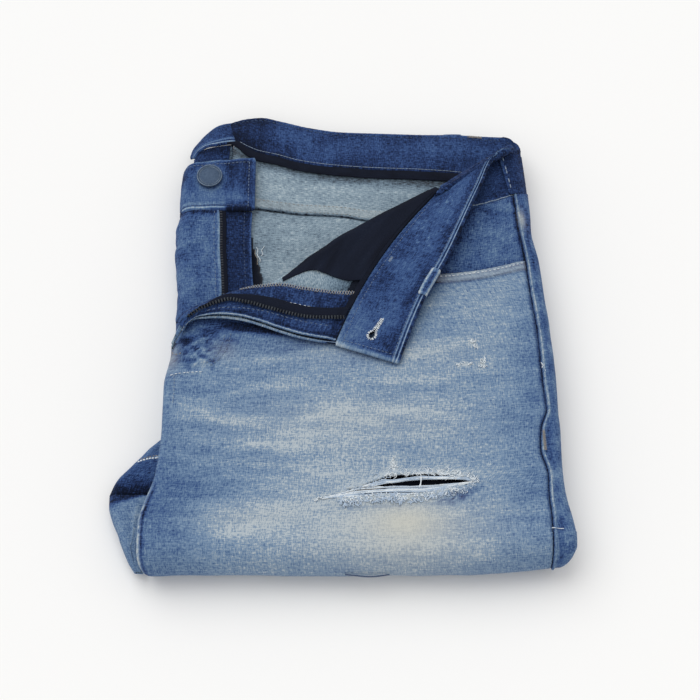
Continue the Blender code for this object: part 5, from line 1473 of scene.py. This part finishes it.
def makeRightFront():
    rows = []
    for y in np.linspace(87.6, -14, 72):
        xIn, left, top = rowAt(rightFrontRows, y)
        rows.append(sideSection(y, xIn, wrap["droop"], left, wrap["turn"], top, wrap["low"],
                                left + wrap["frontEnd"]))
    grid = np.array(rows)
    x, y = plan(grid)
    k = countAcross(x)
    fromZip = at(rightFrontRows, y) - x
    creases = bells(k, y, ((8, 70, 38, 60, 3, 0.7, 2), (12, 52, 40, 40, 3, 0.65, 1),
                                 (6, 36, 34, 22, 3, 0.6, -2), (20, 80, 42, 76, 2.5, 0.5, 0),
                                 (24, 26, 46, 30, 2.6, -0.6, 0), (26, 8, 46, 12, 2.6, 0.5, 0),
                                 (30, 62, 48, 66, 2.2, -0.6, 0)))
    ripple = 0.25 * noise(k / 7, y / 9, 121) + 0.12 * noise(k / 2.3, y / 3, 122) * (k > 16)
    ridge = 0.45 * bell(fromZip, 0.5, 0.7) * (k < 20)
    grid = lifted(grid, (creases + ripple) * fade(k, 1, 6) + ridge)
    tone = 0.3 + mottle(k, y, (0.09, 6, 9, 123), (0.05, 2, 2.5, 124))
    tone += 0.05 * bell(y, 60, 30) * bell(k, 14, 10)
    # painted highlights on the crease ridges; a pale line along the zip edge; painted shade along the top under
    # the buttoned band
    tone += 0.06 * bells(k, y, ((8, 70, 38, 60, 3, 1, 2), (12, 52, 40, 40, 3, 1, 1),
                                      (6, 36, 34, 22, 3, 1, -2), (26, 8, 46, 12, 2.6, 1, 0)))
    tone += 0.42 * bell(fromZip, 0.3, 0.6) * (k < 20) - 0.26 * fade(y, 83, 88)
    cloth("rightFront", "right_front", "faded_denim", grid, 1.3, [denim, wrongSide], tone, span=(0.05, 0.95))
    return grid


def shieldGrid(columns):
    rows = []
    for y in np.linspace(88.4, -12, 60):
        line, edge = at(rightFrontRows, y), at(shieldEdge, y)
        top = at(rightFrontRows, y, 3) - wrap["droop"] - 1.75 - np.array((0, 0.1, 0.3, 0.8, 1.6))
        x = (line - 3.5, line + 0.5, line + 4.2, (line + edge) / 2 + 2, edge)
        rows.append(cubic(range(5), stack(x, y + 0 * top, top), np.linspace(0, 4, columns)))
    return np.array(rows)


def makeShield():
    grid = shieldGrid(30)[:, ::-1]
    x, y = plan(grid)
    fromEdge = at(shieldEdge, y) - x
    grid = lifted(grid, 0.2 * noise(x / 9, y / 15, 125) - 0.25 * bell(fromEdge, 1.6, 0.5))
    tone = 0.135 + 0.02 * noise(x / 4, y / 8, 126) + 0.2 * bell(fromEdge, 0, 0.7)
    # painted shade along the top, under the buttoned band's edge
    tone -= 0.06 * fade(y, 80, 88)
    cloth("flyShield", "fly_shield", "deep_denim", grid, 1.1, [deepDenim, denim], tone)
    whole = shieldGrid(41)
    tape = lifted(whole[:, 10:21][:, ::-1], 0.9 + 0.35)
    share = shareAcross(tape[..., 0])
    tone = 0.36 + 0.08 * np.sin(share * 25)
    cloth("zipTapeRight", "zip_tape_right", "black_cotton", tape, 0.8, [blackCotton], tone, on="fly_shield")
    # its teeth look away to the left, half under the front's edge
    teethAlong("zipTeethRight", lineOn(tape, [(0, 0.84), (1, 0.84)], 200), -0.1, 0, (1.1, 2.2, 0.5))
    return grid


def makeButtonEnd():
    rows = []
    for y in np.linspace(88.2, 124.2, 34):
        rise, left, top = rowAt(buttonEndRows, y)
        row = sideSection(y, wrap["bandRight"], wrap["bandDroop"], left, wrap["turn"], top, wrap["low"],
                          left + wrap["bandEnd"], 40)
        row[:, 1] += rise * np.clip((row[:, 0] - left) / (wrap["bandRight"] - left), 0, 1)
        rows.append(row)
    grid = np.array(rows)[::-1]
    x, y = plan(grid)
    r = np.linspace(1, 0, 34)[:, None] + 0 * x        # 0 at the seam, 1 at the top edge
    k = countAcross(x)
    wave = 0.35 * noise(k / 9, r * 2, 131) + 0.15 * noise(k / 3, r * 5, 132)
    wave -= 0.9 * bell(x, -88, 11) * bell(y, 113, 10) * (k < 45)
    groove = -0.32 * bell(r, 0.93, 0.03) - 0.32 * bell(r, 0.07, 0.03)
    groove -= 0.35 * bell(x, wrap["bandRight"] - 3.4, 0.6) * (k < 30)
    grid = lifted(grid, wave + groove)
    tone = 0.235 + 0.09 * noise(k / 6, r * 4, 133) + 0.05 * noise(k / 2, r * 7, 134)
    tone += 0.12 * fade(-x, 70, 84) * bell(r, 0.25, 0.22) - 0.09 * fade(x, -82, -68)
    tone += 0.26 * bell(r, 1, 0.03) * (k < 48)
    # at the seam a white line, a groove darkened by painted shade and a stitched ridge on the left, a dark line
    # on the right
    left = fade(-x, 75, 79) * (k < 48)
    tone += (0.66 * bell(r, 0.03, 0.02) - 0.16 * bell(r, 0.065, 0.016) + 0.34 * bell(r, 0.105, 0.022)) * left
    tone -= 0.16 * bell(r, 0.01, 0.03) * (1 - left)
    worn = ((-97, 106, 12, 12, 0, 1), (-70, 100, 7, 5, 0, 1), (-88, 98, 18, 4, 0, 0.9))
    tone += 0.1 * spots(x, y, worn) * (k < 48)
    tone += 0.1 * bell(r, 0.2, 0.05) * bell(x, -66, 9)
    tone += 0.1 * np.exp(-(np.hypot(x + 88, y - 113) - 10.2) ** 2 / 1.5) * (k < 45)
    tone += 0.12 * bell(x, wrap["bandRight"], 0.8)
    cloth("waistbandButtonEnd", "waistband_button_end", "deep_denim", grid, 2.6, [deepDenim], tone,
          on="right_front", turned=True)
    return grid


frontGrid = makeRightFront()
shieldFace = makeShield()
endGrid = makeButtonEnd()
print("right front ready")


# facing above the hidden pocket and the bag under the rip

facingTop = ((42.5, 79), (60, 91.2), (74, 93.4), (86.5, 87.2), (103, 91.6), (113.6, 96.3))


def makePocketFacing():
    foot = np.array([(40.5, 60), *pocketOpening[2:]])
    top = np.array(facingTop)
    coarse = []
    for f, sink in ((-0.12, 1.9), (0.02, 1.9), (0.2, 0.8), (0.5, 0), (1, 0)):
        points = foot + (top - foot) * f
        points[-1, 0] = at(topOutline, points[-1, 1], 2) - 0.4
        coarse.append(np.column_stack([points, at(topHeight, points[:, 1]) - sink]))
    grid = resample(coarse, 46, 64)
    x, y = plan(grid)
    crease = bells(x, y, ((88, 91, 122, 86, 1.8, 0.75, 1.6), (88, 87.5, 122, 82, 1.6, -0.55, 1.6),
                          (74, 66, 112, 70, 5, 0.45, 1), (84, 50, 116, 56, 4, -0.35, 0)))
    seam = -0.6 * bell(grid[:, -1:, 0], x, 1.8)
    grid[..., 2] += crease + seam + 0.2 * noise(x / 9, y / 9, 141)
    tone = 0.34 + mottle(x, y, (0.07, 10, 7, 142), (0.06, 3, 3, 143))
    # painted highlight on the crease's ridge and painted shade in its trough; the flap's painted shadow on the
    # left
    tone += bells(x, y, ((86, 92, 124, 86.5, 2.4, 0.1, 1.6), (88, 86.5, 122, 81.5, 1.6, -0.1, 1.6)))
    shade = np.interp(y, (36, 60, 93), (64, 76, 94))
    tone -= 0.36 * (1 - fade(x, shade - 11, shade + 11)) + 0.05 * fade(-y, -52, -42)
    tone += 0.05 * bell(x, 104, 12) * bell(y, 62, 14)
    # painted shade in the seam's dip at the right edge
    tone -= 0.2 * bell(grid[:, -1:, 0], x, 1.2)
    cloth("pocketFacing", "pocket_facing", "deep_denim", grid, 1.2, [denim, wrongSide], tone)


def makeBagLower():
    x, y = np.meshgrid(np.linspace(-44, 108, 60), np.linspace(-140, -92, 22))
    z = at(topHeight, y) - 1.4 - 2.2 + 0.3 * noise(x / 12, y / 8, 144)
    grid = stack(x, y, z)
    cloth("pocketBagLower", "pocket_bag_lower", "black_cotton", grid, 0.8, [blackCotton], 0.3 + 0 * x)


makePocketFacing()
makeBagLower()
print("hidden pocket ready")


# the seat's point at the left: two cloths that meet in a seam, and what fills them

crotchUpperRows = (
    # y, inner x, left edge, top z, low z
    (-74.5, -105, -112.5, 14.2, 7.6), (-80, -105, -118.5, 14.6, 7.4), (-88, -105, -126, 15, 3),
    (-98, -105, -135.5, 15, 2), (-106, -105, -141.4, 14.4, 1.6), (-112.8, -105, -144.2, 12.6, 1.2),
)
crotchLowerRows = (
    # y, inner x, left edge, top z, low z
    (-113.8, -105, -144.4, 12.4, 1.2), (-121, -105, -144, 14.6, 1.2), (-130, -108, -141.5, 15.6, 1.2),
    (-141, -118, -137, 15.4, 1.4), (-150, -125, -133.6, 13.8, 2), (-157, -124.4, -130.6, 11.8, 3.4),
    (-163.5, -122.2, -126.6, 9.8, 5),
)


def makeCrotch(name, node, table, slotName, base, seed, seams):
    rows = []
    for y in np.linspace(table[0][0], table[-1][0], 34):
        xIn, left, top, low = rowAt(table, y)
        turn = min(6, (xIn - left) * 0.45)
        rows.append(sideSection(y, xIn, 0, left, turn, top, low, max(-121, left + turn + 0.8), 22, 20))
    grid = np.array(rows)
    x, y = plan(grid)
    k = countAcross(x)
    ridge = bells(k, y, seams)
    grid = lifted(grid, 0.3 * noise(k / 6, y / 6, seed) + 0.8 * ridge)
    # a wedge of shade under the seam, and above it a shade that fades upward
    reach = 10 * np.clip((-119 - x) / 22, 0.1, 1)
    fold = np.where(y < -113.3, 1 - fade(-113.3 - y, reach * 0.5, reach * 1.1), np.exp(-(y + 113.3) / 4.5))
    tone = base + mottle(k, y, (0.04, 5, 4, seed + 1), (0.04, 1.7, 1.5, seed + 2))
    tone += 0.22 * ridge - 0.46 * fold + 0.14 * fade(y, -91.5, -88.5)
    cloth(name, node, slotName, grid, 1.3, [denim, wrongSide], tone, span=(0.02, 0.95))
    return grid


upperCrotch = makeCrotch("crotchLeftBack", "crotch_left_back", crotchUpperRows, "deep_denim", 0.24, 151,
                         ((0, -90.5, 16, -88, 0.9, 1, 0.5), (0, -80, 14, -86, 2, 0.35, 0)))
makeCrotch("crotchRightBack", "crotch_right_back", crotchLowerRows, "faded_denim", 0.54, 161,
           ((14, -116, 20, -160, 0.9, 0.8, 1), (2, -124, 20, -130, 2.2, 0.3, 0)))


# hidden layers: the pile's inside, one rounded solid with layered sides

coreRows = (
    # y, left, right, low, middle, left top, right edges from, to, left edges from, to, left foot
    (-164, -98, 113, 9.2, 21.6, 21.2, 11, 14.6, 11, 17, 10),
    (-159, -102, 122, 5.6, 25.8, 25.4, 8.4, 14.6, 9, 18, 7),
    (-150, -104.4, 129, 2.6, 28.4, 28, 6.8, 14.6, 6.8, 18.5, 4),
    (-145, -104.4, 129.4, 1.9, 28.4, 28, 6.8, 14.6, 6.8, 18.6, 4),
    (-141, -104.4, 129.8, 1.9, 25.2, 25.2, 6.8, 14.6, 6.8, 18.6, 4),
    (-137, -104.4, 134.8, 1.9, 25.2, 25.2, 6.8, 14.6, 6.8, 18.7, 4),
    (-110, -104.4, 137, 1.9, 25.1, 25.1, 6.8, 14.8, 6.8, 18.8, 4),
    (-91.2, -104.4, 136.6, 1.9, 24.8, 24.8, 6.8, 14.8, 6.8, 19, 4),
    (-87, -104.4, 136.4, 1.9, 28, 27.6, 6.8, 14.8, 6.8, 19.1, 4),
    (-76, -104.4, 136.2, 1.9, 28, 27.6, 6.8, 14.8, 6.8, 19.2, 4),
    (-45, -109, 135.4, 1.9, 27.4, 27, 6.8, 14.6, 6.8, 19.4, 4),
    (-26, -108.4, 134.8, 1.9, 24, 24, 6.8, 14.4, 6.8, 19, 4),
    (-19, -108, 134.4, 1.9, 18.4, 19.6, 6.8, 14.2, 6.8, 18.6, 4),
    (-15.5, -104.8, 134, 1.9, 16.8, 19.2, 6.8, 13.8, 4.2, 18.6, 4),
    (14, -104.8, 131.8, 1.9, 13.8, 19.2, 6.8, 13.4, 4.2, 18.6, 4),
    (32, -104.8, 130.6, 1.9, 13.9, 19.4, 6.8, 13.6, 4.2, 18.8, 4),
    (60, -107, 127, 1.9, 14, 19.6, 6.8, 13.6, 4.2, 19, 4),
    (87, -104.4, 124, 1.9, 14, 19.2, 6.8, 13.2, 5.8, 18.6, 5.4),
    (111, -103.2, 120.6, 1.9, 13.6, 18.6, 6.6, 12.4, 5.8, 18.2, 5.4),
    (116, -102.8, 119.6, 1.9, 13.5, 13.9, 6.4, 12.2, 5.8, 13.3, 5.4),
    (124, -101, 117.6, 1.9, 13, 13.3, 6.2, 12, 5.8, 12.9, 5.4),
    (129.6, -99, 116.6, 8.6, 12.4, 12.4, 9.2, 11.6, 9, 11.8, 8.8),
    (142, -92, 112, 8.6, 10.8, 10.4, 8.9, 10.3, 8.9, 10, 8.8),
)
core = {"edges": 3, "edgeDepth": 2.2, "roundDepth": 8, "wrappedFrom": -16, "wrappedTo": 128}


def scallops(layered):
    # shares up a side and how far each is drawn in: three rounded layers, or one plain round
    share = steps(37)
    part = (share * core["edges"]) % 1
    part[-1] = 1
    inset = core["edgeDepth"] * (1 - np.sqrt(np.clip(1 - np.abs(2 * part - 1) ** 3, 0, 1)))
    if not layered:
        inset = core["roundDepth"] * (1 - np.sqrt(1 - np.clip(np.abs(2 * share - 1), 0, 0.96) ** 2))
    return share, inset


def coreRing(row):
    y, left, right, low, middle, leftTop, rightLow, rightHigh, leftLow, leftHigh, foot = row
    share, inset = scallops(True)
    rightSide = stack(right - inset, rightLow + (rightHigh - rightLow) * share)
    share, inset = scallops(not core["wrappedFrom"] < y < core["wrappedTo"])
    leftSide = stack(left + inset, leftLow + (leftHigh - leftLow) * share)[::-1]
    top = np.array([(right - 15, rightHigh + 0.15), (right - 16, max(middle, rightHigh + 0.4)), (20, middle),
                    (max(-80.3, left + 22), middle), (max(-86, left + 16), leftTop), (left + 14, leftTop),
                    (left + 13, leftHigh + 0.1)])
    bottom = [(left + 19.5, low), (right - 14, low), (right - 13, rightLow - 0.15)]
    ring = np.concatenate([bottom, rightSide, top, leftSide, [(left + 18.5, foot)]])
    return stack(ring[:, 0], np.full(len(ring), y), ring[:, 1])


def loft(name, node, rings, tone, base):
    # a closed solid through rings, its ends closed by a fan about their middles
    flat = rings.reshape(-1, 3)
    points = np.concatenate([flat, rings[[0, -1]].mean(axis=1)])
    uv = stack(flat[:, 0] + flat[:, 2], flat[:, 1])
    tones = np.concatenate([tone.reshape(-1), [base, base]])
    faces = [f for kind in ringFaces(*rings.shape[:2]) for f in kind.tolist()]
    uv = np.concatenate([uv, uv[:1], uv[-1:]])
    made = meshOf(name, points, faces, [denim], uv=uv, tone=tones, stain=0 * tones)
    standIn(made, node)


def makeCore():
    coarse = np.array([coreRing(row) for row in coreRows])
    ys = np.array([row[0] for row in coreRows])
    dense = np.unique(np.concatenate([np.linspace(ys[0], ys[-1], 110), ys]))
    rings = footBend(cubic(ys, coarse, dense))
    y = rings[..., 1]
    k = countAcross(y)
    side = (k >= 3) & (k < 40) | (k >= 47) & (k < 84)
    wave = 0.5 * noise(y / 14, k / 12, 171) * side
    rings[..., 0] += np.where(k < 43, wave - 0.3, 0.3 - wave)
    tone = 0.42 + 0.06 * noise(y / 6, k / 3, 172) + 0.08 * side
    # painted shade in the hollows between the layers on the sides
    part = (np.where(k < 43, k - 3, k - 47) / 12) % 1
    tone -= 0.22 * side * bell(np.minimum(part, 1 - part), 0, 0.1)
    loft("hiddenLayers", "hidden_layers", rings, np.clip(tone, 0.05, 0.9), 0.4)


def makeCrotchLayers():
    rows = [*crotchUpperRows, *crotchLowerRows]
    inset = 1.6 + 0.35 + 0.35
    rings = []
    for y in np.linspace(-97.5, -139.5, 26):
        xIn, left, top, low = rowAt(rows, y)
        xIn = max(xIn, -105.6)
        ring = sideSection(y, xIn, 0, left + inset, 6 - inset, top - inset, low + inset, -121, 8, 16)
        rings.append(np.vstack([ring, [(-120, y, 7.2), (xIn, y, 7.2)]]))
    rings = np.array(rings)[::-1, ::-1]
    loft("crotchLayers", "crotch_layers", rings, 0.3 + 0 * rings[..., 0], 0.3)


makeCore()
makeCrotchLayers()
print("seat point and hidden layers ready")


# belt loops and button

sideLoop = (
    # from the top edge to the seam: points from left to right, round the hip
    ((105.6, 131.5, 28.4), (109.5, 131.3, 28.1), (113.6, 131, 27.4), (118.3, 130.8, 25.8),
     (121.8, 130.5, 22.6)),
    ((109.2, 115, 28.2), (112.8, 115, 27.7), (116.6, 115, 26.9), (120.4, 115, 24.6), (123.4, 115, 21.2)),
    ((112.4, 98.6, 28), (115.6, 98.8, 27.2), (119, 99.2, 26), (122.2, 99.6, 23.8), (124.6, 100.3, 20.4)),
)


# the front loop goes round the band's edge: reach beyond the edge and rise above the band
loopWrap = ((-3.8, 0.9), (-1.2, 1.2), (0.9, 0.9), (2, -1.2), (1.6, -3.6), (-1.6, -4.3), (-6, -4.3))


def makeLoops():
    grid = resample(np.array(sideLoop)[::-1], 26, 14)
    share = shareAcross(grid[..., 0])
    grid = lifted(grid, 0.35 * arch(share))
    tone = 0.17 + 0.04 * noise(share * 4, grid[..., 1] / 6, 181) + 0.12 * bell(share, 0, 0.08)
    cloth("beltLoopSide", "belt_loop_side", "deep_denim", grid, 1.4, [deepDenim], tone, on="waistband_left")
    points, normals = lineOn(grid, [(0.04, 0.1), (0.96, 0.1)], 80)
    sew("pale", (points, normals), 5.6, 3.4, 0.42, wobble=0.25, seed=4)

    coarse = np.array([[(x, y, z) for x in (70, 76, 82)]
                       for y, z in ((147.5, 11.9), (152, 11.5), (156.2, 11.3))])
    grid = resample(coarse, 14, 16)
    share = shareAcross(grid[..., 0])
    grid[..., 2] += 0.2 * arch(share)
    cloth("beltLoopBack", "belt_loop_back", "deep_denim", grid, 1.4, [deepDenim],
          0.42 + 0.1 * np.cos(share * 6.28), on="waistband_back")

    coarse = []
    for q in (0.37, 0.42, 0.48, 0.535):
        seam, top = bandEnds(q)
        across = unit(top - seam)
        coarse.append([top + across * reach + np.array([0, 0, rise]) for reach, rise in loopWrap])
    grid = resample(coarse, 30, 30)
    share = shareAlong(grid[..., 0])
    grid = lifted(grid, 0.25 * arch(share))
    wide = shareAcross(share)
    tone = 0.26 + 0.3 * bell(share, 0, 0.08) + 0.3 * bell(share, 1, 0.08)
    tone += ridges(wide, (0.7, 0.03, 0.05), (0.75, 0.34, 0.06), (-0.1, 0.2, 0.1))
    cloth("beltLoopFront", "belt_loop_front", "deep_denim", grid, 1.4, [denim], tone, on="waistband_left",
          span=None)


makeLoops()

button = {"centre": (-88, 113, 24.8), "radius": 8.6, "dots": 44, "dotRing": 0.8}
buttonProfile = (
    # share of the radius, height
    (0, 0), (0.6, 0), (0.84, 0), (0.93, 0.25), (0.985, 0.8), (1, 1.5), (0.985, 1.95), (0.955, 2.3),
    (0.91, 2.5), (0.87, 2.42), (0.84, 2.15), (0.8, 2.02), (0.75, 2.06), (0.7, 2.2), (0.5, 2.42), (0.25, 2.56),
    (0, 2.6),
)


def makeButton():
    # the profile turned round the upright axis; both ends meet it in one point
    profile, centre = np.array(buttonProfile, float), np.array(button["centre"])
    turns = 72
    turned = around(*np.eye(3)[:2], turns)
    points = profile[1:-1, None, :1] * turned * button["radius"] + profile[1:-1, None, 1:] * np.eye(3)[2]
    points = np.concatenate([points.reshape(-1, 3), profile[[0, -1], 1:] * np.eye(3)[2]]) + centre
    faces = [f for kind in ringFaces(len(profile) - 2, turns) for f in kind.tolist()]
    standIn(meshOf("buttonFace", points, faces, [gunMetal]), "button")
    angle = np.linspace(0, 2 * np.pi, button["dots"] * 8 + 1)

    def circle(radius, height):
        circle = stack(radius * np.cos(angle), radius * np.sin(angle), 0 * angle + height)
        return circle + centre, upward(len(angle))

    r = button["radius"] * button["dotRing"]
    sew("dots", circle(r, 2), 2 * np.pi * r / button["dots"], 0.8, 0.3, lift=0.2, wobble=0, seed=3)
    # a close ring of pale metal along the rim's crest: a painted highlight
    sew("dots", circle(button["radius"] * 0.955, 2.25), 0.8, 1.3, 0.26, lift=0, wobble=0, seed=4)
    joinStitches("dots", paleMetalAndHighlight)


makeButton()
print("loops and button ready")


# stitching

def rowLine(grid, share, low=0, high=1, count=260):
    # a line along the rows of a grid, at one share of its columns
    return lineOn(grid, [(low, share), ((low + high) / 2, share), (high, share)], count)


def columnLine(grid, share, low=0, high=1, count=160):
    return lineOn(grid, [(share, low), (share, (low + high) / 2), (share, high)], count)


def topLine(xs, ys, lift=0, count=200):
    # a line on the leg's upper face
    share = steps(len(xs))
    dense = steps(count)
    x, y = cubic(share, xs, dense), cubic(share, ys, dense)
    return stack(x, y, legTop(x, y) + lift), upward(count)


def sewWaistbands():
    # inner and outer edge of the turned-back waistband, then on round the hip
    sew("worn", rowLine(flapGrid, 0.905, 0.005, 0.6, 500), 2.5, 2.1, 0.24, seed=11)
    sew("worn", rowLine(flapGrid, 0.085, 0.005, 0.58, 500), 2.6, 1.9, 0.22, seed=12)
    sew("blue", rowLine(flapGrid, 0.905, 0.6, 0.99, 300), 3, 2.2, 0.28, seed=13)
    sew("worn", columnLine(flapGrid, 0.016, 0.06, 0.94), 2.6, 2, 0.24, seed=14)
    sew("blue", rowLine(backBand, 0.93, 0, 1, 400), 3, 2.2, 0.26, seed=15)
    sew("pale", rowLine(backBand, 0.035, 0.02, 0.99, 500), 2.1, 2.7, 0.2, seed=16)
    sew("blue", rowLine(turnGrid, 0.9, 0, 0.98), 3, 2.1, 0.26, seed=17)
    # the waist seam at the hip, on the band's outer face
    points, normals = lineOn(flapGrid, [(0.72, 0.02), (0.85, 0.02), (0.955, 0.02)], 200)
    sew("pale", (points - normals * (band["thickness"] + 0.05), -normals), 2.2, 2.9, 0.42, seed=18)
    sew("worn", columnLine(endGrid, 0.07, 0.04, 0.75, 300), 2.6, 2.1, 0.25, seed=19)
    sew("blue", columnLine(endGrid, 0.93, 0.04, 0.75, 300), 2.6, 2.1, 0.25, seed=20)
    sew("worn", rowLine(endGrid, 0.047, 0.06, 0.94, 120), 2.6, 2.1, 0.26, seed=21)


def sewFly():
    sew("white", rowLine(facingGrid, 0.6, 0, 0.46, 300), 3, 2, 0.24, seed=31)
    sew("worn", rowLine(facingGrid, 0.26, 0.1, 0.8, 300), 3.2, 2.2, 0.24, seed=32)
    sew("worn", rowLine(frontGrid, 0.075, 0, 1, 300), 3, 2.1, 0.24, seed=34)
    sew("blue", rowLine(shieldFace, 0.13, 0, 1, 300), 3, 2.1, 0.26, seed=35)
    # zigzag of the overlocked edges: short slanted stitches close together
    edge = rowLine(facingGrid, 0.985, 0, 0.62, 400)
    for slant, shift, seed in ((62, 0, 36), (118, 0.5, 37)):
        sew("tan" if shift else "pale", edge, 1.75, 3.7, 0.26, slant=slant, lift=0.6 + shift * 0.3, seed=seed)


def sewInside():
    dense = np.linspace(-76, 40, 300)
    for off, group, seed in ((1.6, "tan", 41), (7, "tan", 42)):
        points = stack(dense, at(yokeSeam, dense) + off, 0 * dense + inside["height"] + 0.35)
        sew(group, (points, upward(300)), 2.9, 1.7, 0.18, seed=seed)
    # torn threads beside the fly shield
    for x0, y0, x1, y1, group, seed in ((-56, 63, -53.5, 52, "white", 44), (-51.5, 64, -52.5, 56, "white", 45),
                                        (-57, 61, -54.5, 50, "tan", 46), (-53, 58, -50, 57, "pale", 47)):
        share = steps(60)
        line = np.stack([x0 + (x1 - x0) * share + 0.5 * np.sin(share * 9 + seed), y0 + (y1 - y0) * share,
                         0 * share + inside["height"] + 0.3], axis=-1)
        sew(group, (line, upward(60)), 1.7, 2.3, 0.2, slant=8, lift=0.3, seed=seed)


def sewLeg():
    # two rows on the hem of the pocket, the pale stitches beside the fly and the crotch
    px, py = np.array(pocketOpening[2:]).T
    for off, group, seed in ((1.8, "white", 51), (6, "pale", 52)):
        sew(group, topLine(px, py - off, pocketHem["rise"] + 0.1), 2.7, 1.9, 0.28, seed=seed)
    for xs, ys, group, seed in (
            ((-108, -104, -98, -92, -87), (-39, -38, -37.2, -36.6, -36.2), "white", 53),
            ((-105.5, -105, -105, -105.5), (-38, -45, -52, -60), "pale", 54),
            ((-70, -72, -77, -84), (-8, -18, -27, -33), "worn", 55),
            ((-74, -76, -80, -86), (-9, -18, -26, -31), "worn", 56),
            ((-108, -106, -103, -101), (-22, -23.5, -24, -22), "tan", 57)):
        sew(group, topLine(xs, ys, 0.1), 2.6, 1.9, 0.27, seed=seed)
    # a short sewn line across the seat's point
    for off, group, seed in ((0.022, "white", 58), (0.034, "white", 60), (-0.012, "tan", 59)):
        marks = [(0.4, 0.01), (0.37, 0.2), (0.375, 0.38), (0.43, 0.56)]
        line = lineOn(upperCrotch, [(share + off, place) for share, place in marks], 80)
        sew(group, line, 1.9, 1.8, 0.3, slant=10, lift=0.3, seed=seed)
    # bar tacks: close stitches across the waistband's edge and on the outseam
    bars = (((96, 150.5), (86, 151.5), 16.2, "tan", 17), ((126.5, -78), (127.2, -92), 31.6, "tan", 18),
            ((33.5, 43), (31.5, 39.5), 38.5, "pale", 19))
    for (x0, y0), (x1, y1), z, group, seed in bars:
        t = steps(40)[:, None]
        points = np.array([(x0, y0, z)]) * (1 - t) + np.array([(x1, y1, z)]) * t
        sew(group, (points, upward(40)), 0.7, 2.2, 0.26, slant=90, lift=0.3, seed=seed)


def sewButtonhole():
    # close stitches round the rim of the hole
    ring = np.vstack([holeRing, holeRing[:1]])
    run = runOf(ring)
    line = stack(*[np.interp(np.linspace(0, run[-1], 200), run, places) for places in ring.T])
    flat = flapGrid.reshape(-1, 3)
    near = np.argmin(((line[:, None] - flat[:, :2]) ** 2).sum(axis=-1), axis=1)
    line = line + unit(line - holeRing.mean(axis=0)) * 0.5
    sew("white", (np.column_stack([line, flat[near, 2] + 0.1]), upward(200)), 0.9, 1.9, 0.28, slant=90,
          lift=0.3, wobble=0.3, seed=61)


sewWaistbands()
sewFly()
sewInside()
sewLeg()
sewButtonhole()
for name in ("pale", "white", "worn", "tan", "blue"):
    joinStitches(name, threads[name]).name = name + "Stitches"
print("stitching ready")


# floor, light and camera

stageLook = {"floor": 0.91, "world": 0.77, "key": 1.16, "softness": 60, "from": (-0.45, 0.65, 1.15),
             "skyColour": (1, 0.985, 0.965), "keyColour": (0.96, 0.985, 1)}


def makeStage():
    mesh = bpy.data.meshes.new("floor")
    half = 6
    corners = [(-half, -half, 0), (half, -half, 0), (half, half, 0), (-half, half, 0)]
    mesh.from_pydata(corners, [], [(0, 1, 2, 3)])
    board = Board("paleFloor", roughness=0.95)
    board.skin.inputs["Base Color"].default_value = (*[stageLook["floor"]] * 3, 1)
    board.skin.inputs["Specular IOR Level"].default_value = 0
    mesh.materials.append(board.material)
    placed("floor", mesh)
    world = bpy.data.worlds.new("softLight")
    world.use_nodes = True
    sky = world.node_tree.nodes["Background"].inputs
    sky["Color"].default_value = (*stageLook["skyColour"], 1)
    sky["Strength"].default_value = stageLook["world"]
    bpy.context.scene.world = world

    # one wide, far light, so that the floor is even and its shadows are soft
    light = bpy.data.lights.new("key", "SUN")
    light.energy, light.angle = stageLook["key"], np.radians(stageLook["softness"])
    light.color = stageLook["keyColour"]
    made = placed("key", light)
    made.location = stageLook["from"]
    made.rotation_euler = (-Vector(stageLook["from"])).to_track_quat("-Z", "Y").to_euler()


def makeCamera():
    view = {"aim": (6, -13, 15), "elevation": 62, "distance": 1300, "lens": 103.64}
    tilt = np.radians(view["elevation"])
    aim = np.array(view["aim"])
    eye = aim + view["distance"] * np.array([0, -np.cos(tilt), np.sin(tilt)])
    data = bpy.data.cameras.new("camera")
    data.lens, data.sensor_width = view["lens"], 36
    made = placed("camera", data)
    made.location = eye * mm
    made.rotation_euler = (Vector(aim - eye)).to_track_quat("-Z", "Y").to_euler()
    bpy.context.scene.camera = made


makeStage()
makeCamera()
bpy.context.scene.view_settings.view_transform = "Standard"
print("stage ready")
